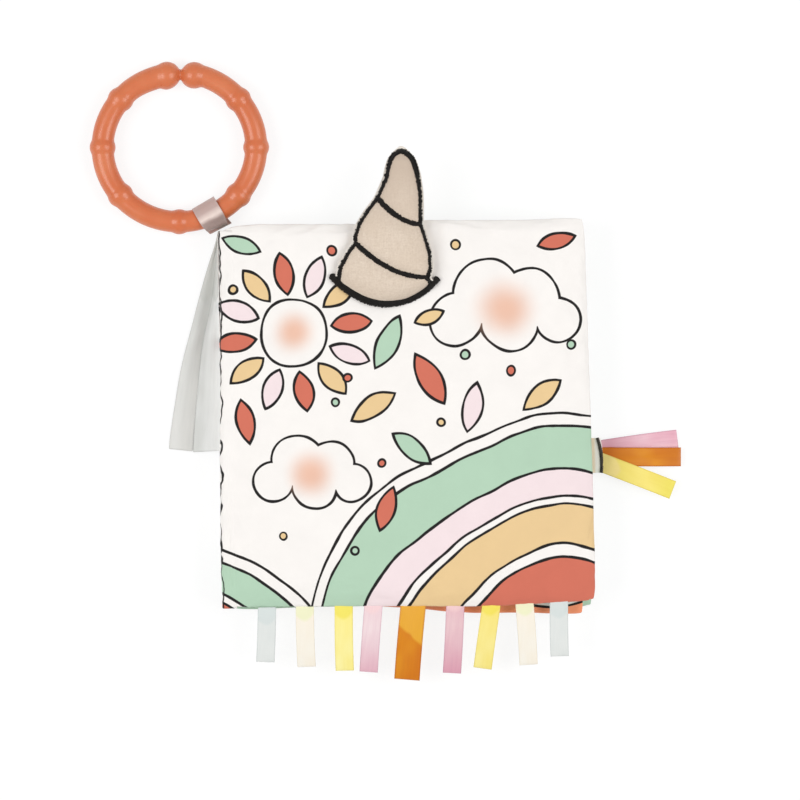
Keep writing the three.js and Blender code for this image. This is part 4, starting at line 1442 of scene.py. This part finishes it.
def spine_cloth(name, upper, node, seed):
    """Half of the spine's cloth: from on top of a cover, over its edge, to the middle of the spine."""
    phases = np.random.default_rng(seed).uniform(0, 6.28, 5)
    seam = FRONT_SEAM if upper else REAR_SEAM
    way = 1 if upper else -1
    foot, head, tapered = -92.7, 91.4, 5.2
    half_length, squareness = 93.4, 8
    bow_middle, bow_reach = 5, 150
    lowest, clear = 0.26, 0.25
    thick = 0.35
    face_at, face_bow = (-89.5, 1.25) if upper else (-89.3, 0.3)

    def place(u, v):
        at = u * (len(SPINE_PROFILE) - 1)
        k = min(int(at), len(SPINE_PROFILE) - 2)
        t = at - k
        down = max(0.0, (at - 6) / 5)
        y = foot + (head - foot) * v - (v - 0.5) * tapered * min(1.0, down)
        face = face_at + face_bow * math.sin((y - bow_middle) * math.pi / bow_reach)
        fall = math.sqrt(max(0.0, 1 - abs(y / half_length) ** squareness))
        ripple = sum(size * math.sin(y * rate + phase)
                     for (size, rate), phase in zip(SPINE_RIPPLES, phases))

        def knot(j):
            dx, over, tall = SPINE_PROFILE[j]
            x = face + dx
            if tall is None:
                if upper:
                    return x, top_of(cover_surface, x, y, seam) + over
                return x, max(lowest, seam - (seam - 0.3) * fall) - over * 0.2
            if tall > 0:
                tall *= fall
            if upper and dx > 0.4:
                return x, max(seam + tall, top_of(cover_surface, x, y, seam) + clear)
            return x, max(lowest, seam + way * tall)

        x0, z0 = knot(k)
        x1, z1 = knot(k + 1)
        x, z = x0 + (x1 - x0) * t, z0 + (z1 - z0) * t
        waved = min(1.0, max(0.0, (at - 2.5) / 3)) * (1 - 0.75 * min(1.0, down))
        return x + ripple * waved, y, z + 0.5 * ripple * waved * way * (1 if at < 6 else 0)

    cloth = sheet_grid(name, columns=33, rows=150)
    chart(cloth, across=18, along=186)
    lay(cloth, place)
    thicken(cloth, thick, offset=0.0)
    smooth(cloth)
    cloth.data.materials.append(FINISHES["cover"])
    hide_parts(node)
    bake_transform(cloth)


spine_cloth("spine_cloth_lower", False,
            "spine_lining_strip", 3)
spine_cloth("spine_cloth_upper", True,
            "spine_outer_strip", 4)


# Hidden pieces


for node, finish in (
    ("rear_wadding", "wadding"), ("leaf_wadding", "wadding"), ("front_wadding", "wadding"),
    ("rear_crinkle_film", "film"), ("front_crinkle_film", "film"),
    ("squeaker_cup", "squeaker"), ("squeaker_plunger", "squeaker"),
):
    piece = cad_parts[node]
    piece.data.materials.clear()
    piece.data.materials.append(FINISHES[finish])


# Studio


def studio():
    glow = 0.81
    sky_strength = 0.47
    lit_paper, seen_paper = (0.95, 0.95, 0.95), (0.22, 0.22, 0.22)
    clear_selection()
    bpy.ops.mesh.primitive_plane_add(size=6, location=(0, 0, -0.2 * MM))
    floor = bpy.context.active_object
    floor.name = "studio_floor"
    paper = Finish("studio_paper", 1.0, Specular_IOR_Level=0.0)
    # Seen by the camera, the paper glows a little, so that only a faint shadow shows on it
    path = paper.node("LightPath").outputs
    eye = paper.worked("MAXIMUM", path["Is Camera Ray"], path["Is Glossy Ray"])
    eye = paper.worked("MAXIMUM", eye, path["Is Transmission Ray"])
    paper.colour(paper.mix(eye, lit_paper, seen_paper))
    paper.feed(paper.shader.inputs["Emission Color"], (1.0, 1.0, 1.0))
    paper.feed(paper.shader.inputs["Emission Strength"], eye * glow)
    floor.data.materials.append(paper.material)

    world = bpy.data.worlds.new("studio")
    bpy.context.scene.world = world
    world.use_nodes = True
    sky = world.node_tree.nodes["Background"]
    sky.inputs["Color"].default_value = (1, 1, 1, 1)
    sky.inputs["Strength"].default_value = sky_strength

    for name, place, power in (
        ("left_softbox", (-1.15, 0.0, 1.35), 12.8),
        ("right_softbox", (1.05, 0.0, 1.35), 11.7),
    ):
        lamp = bpy.data.lights.new(name, "AREA")
        lamp.size = 1.0
        lamp.energy = power
        light = bpy.data.objects.new(name, lamp)
        light.location = place
        light.rotation_mode = "QUATERNION"
        light.rotation_quaternion = Vector(place).to_track_quat("Z", "Y")
        bpy.context.collection.objects.link(light)


def camera():
    """Straight above the book, turned a little, and framed as the photograph is."""
    sensor = 36
    distance = 4.0
    centre_x, centre_y, turn = -1.907, 6.888, -1.35
    eye = bpy.data.cameras.new("camera")
    eye.sensor_width = sensor
    eye.lens = sensor * (distance - BOOK_TOP * MM) / (PHOTO_WIDTH * PHOTO_SCALE * MM)
    eye.clip_start, eye.clip_end = 0.1, 20
    viewer = bpy.data.objects.new("camera", eye)
    viewer.location = (centre_x * MM, centre_y * MM, distance)
    viewer.rotation_euler = (0, 0, math.radians(turn))
    bpy.context.collection.objects.link(viewer)
    bpy.context.scene.camera = viewer
    bpy.context.scene.view_settings.view_transform = "Standard"


studio()
camera()

bpy.context.view_layer.update()
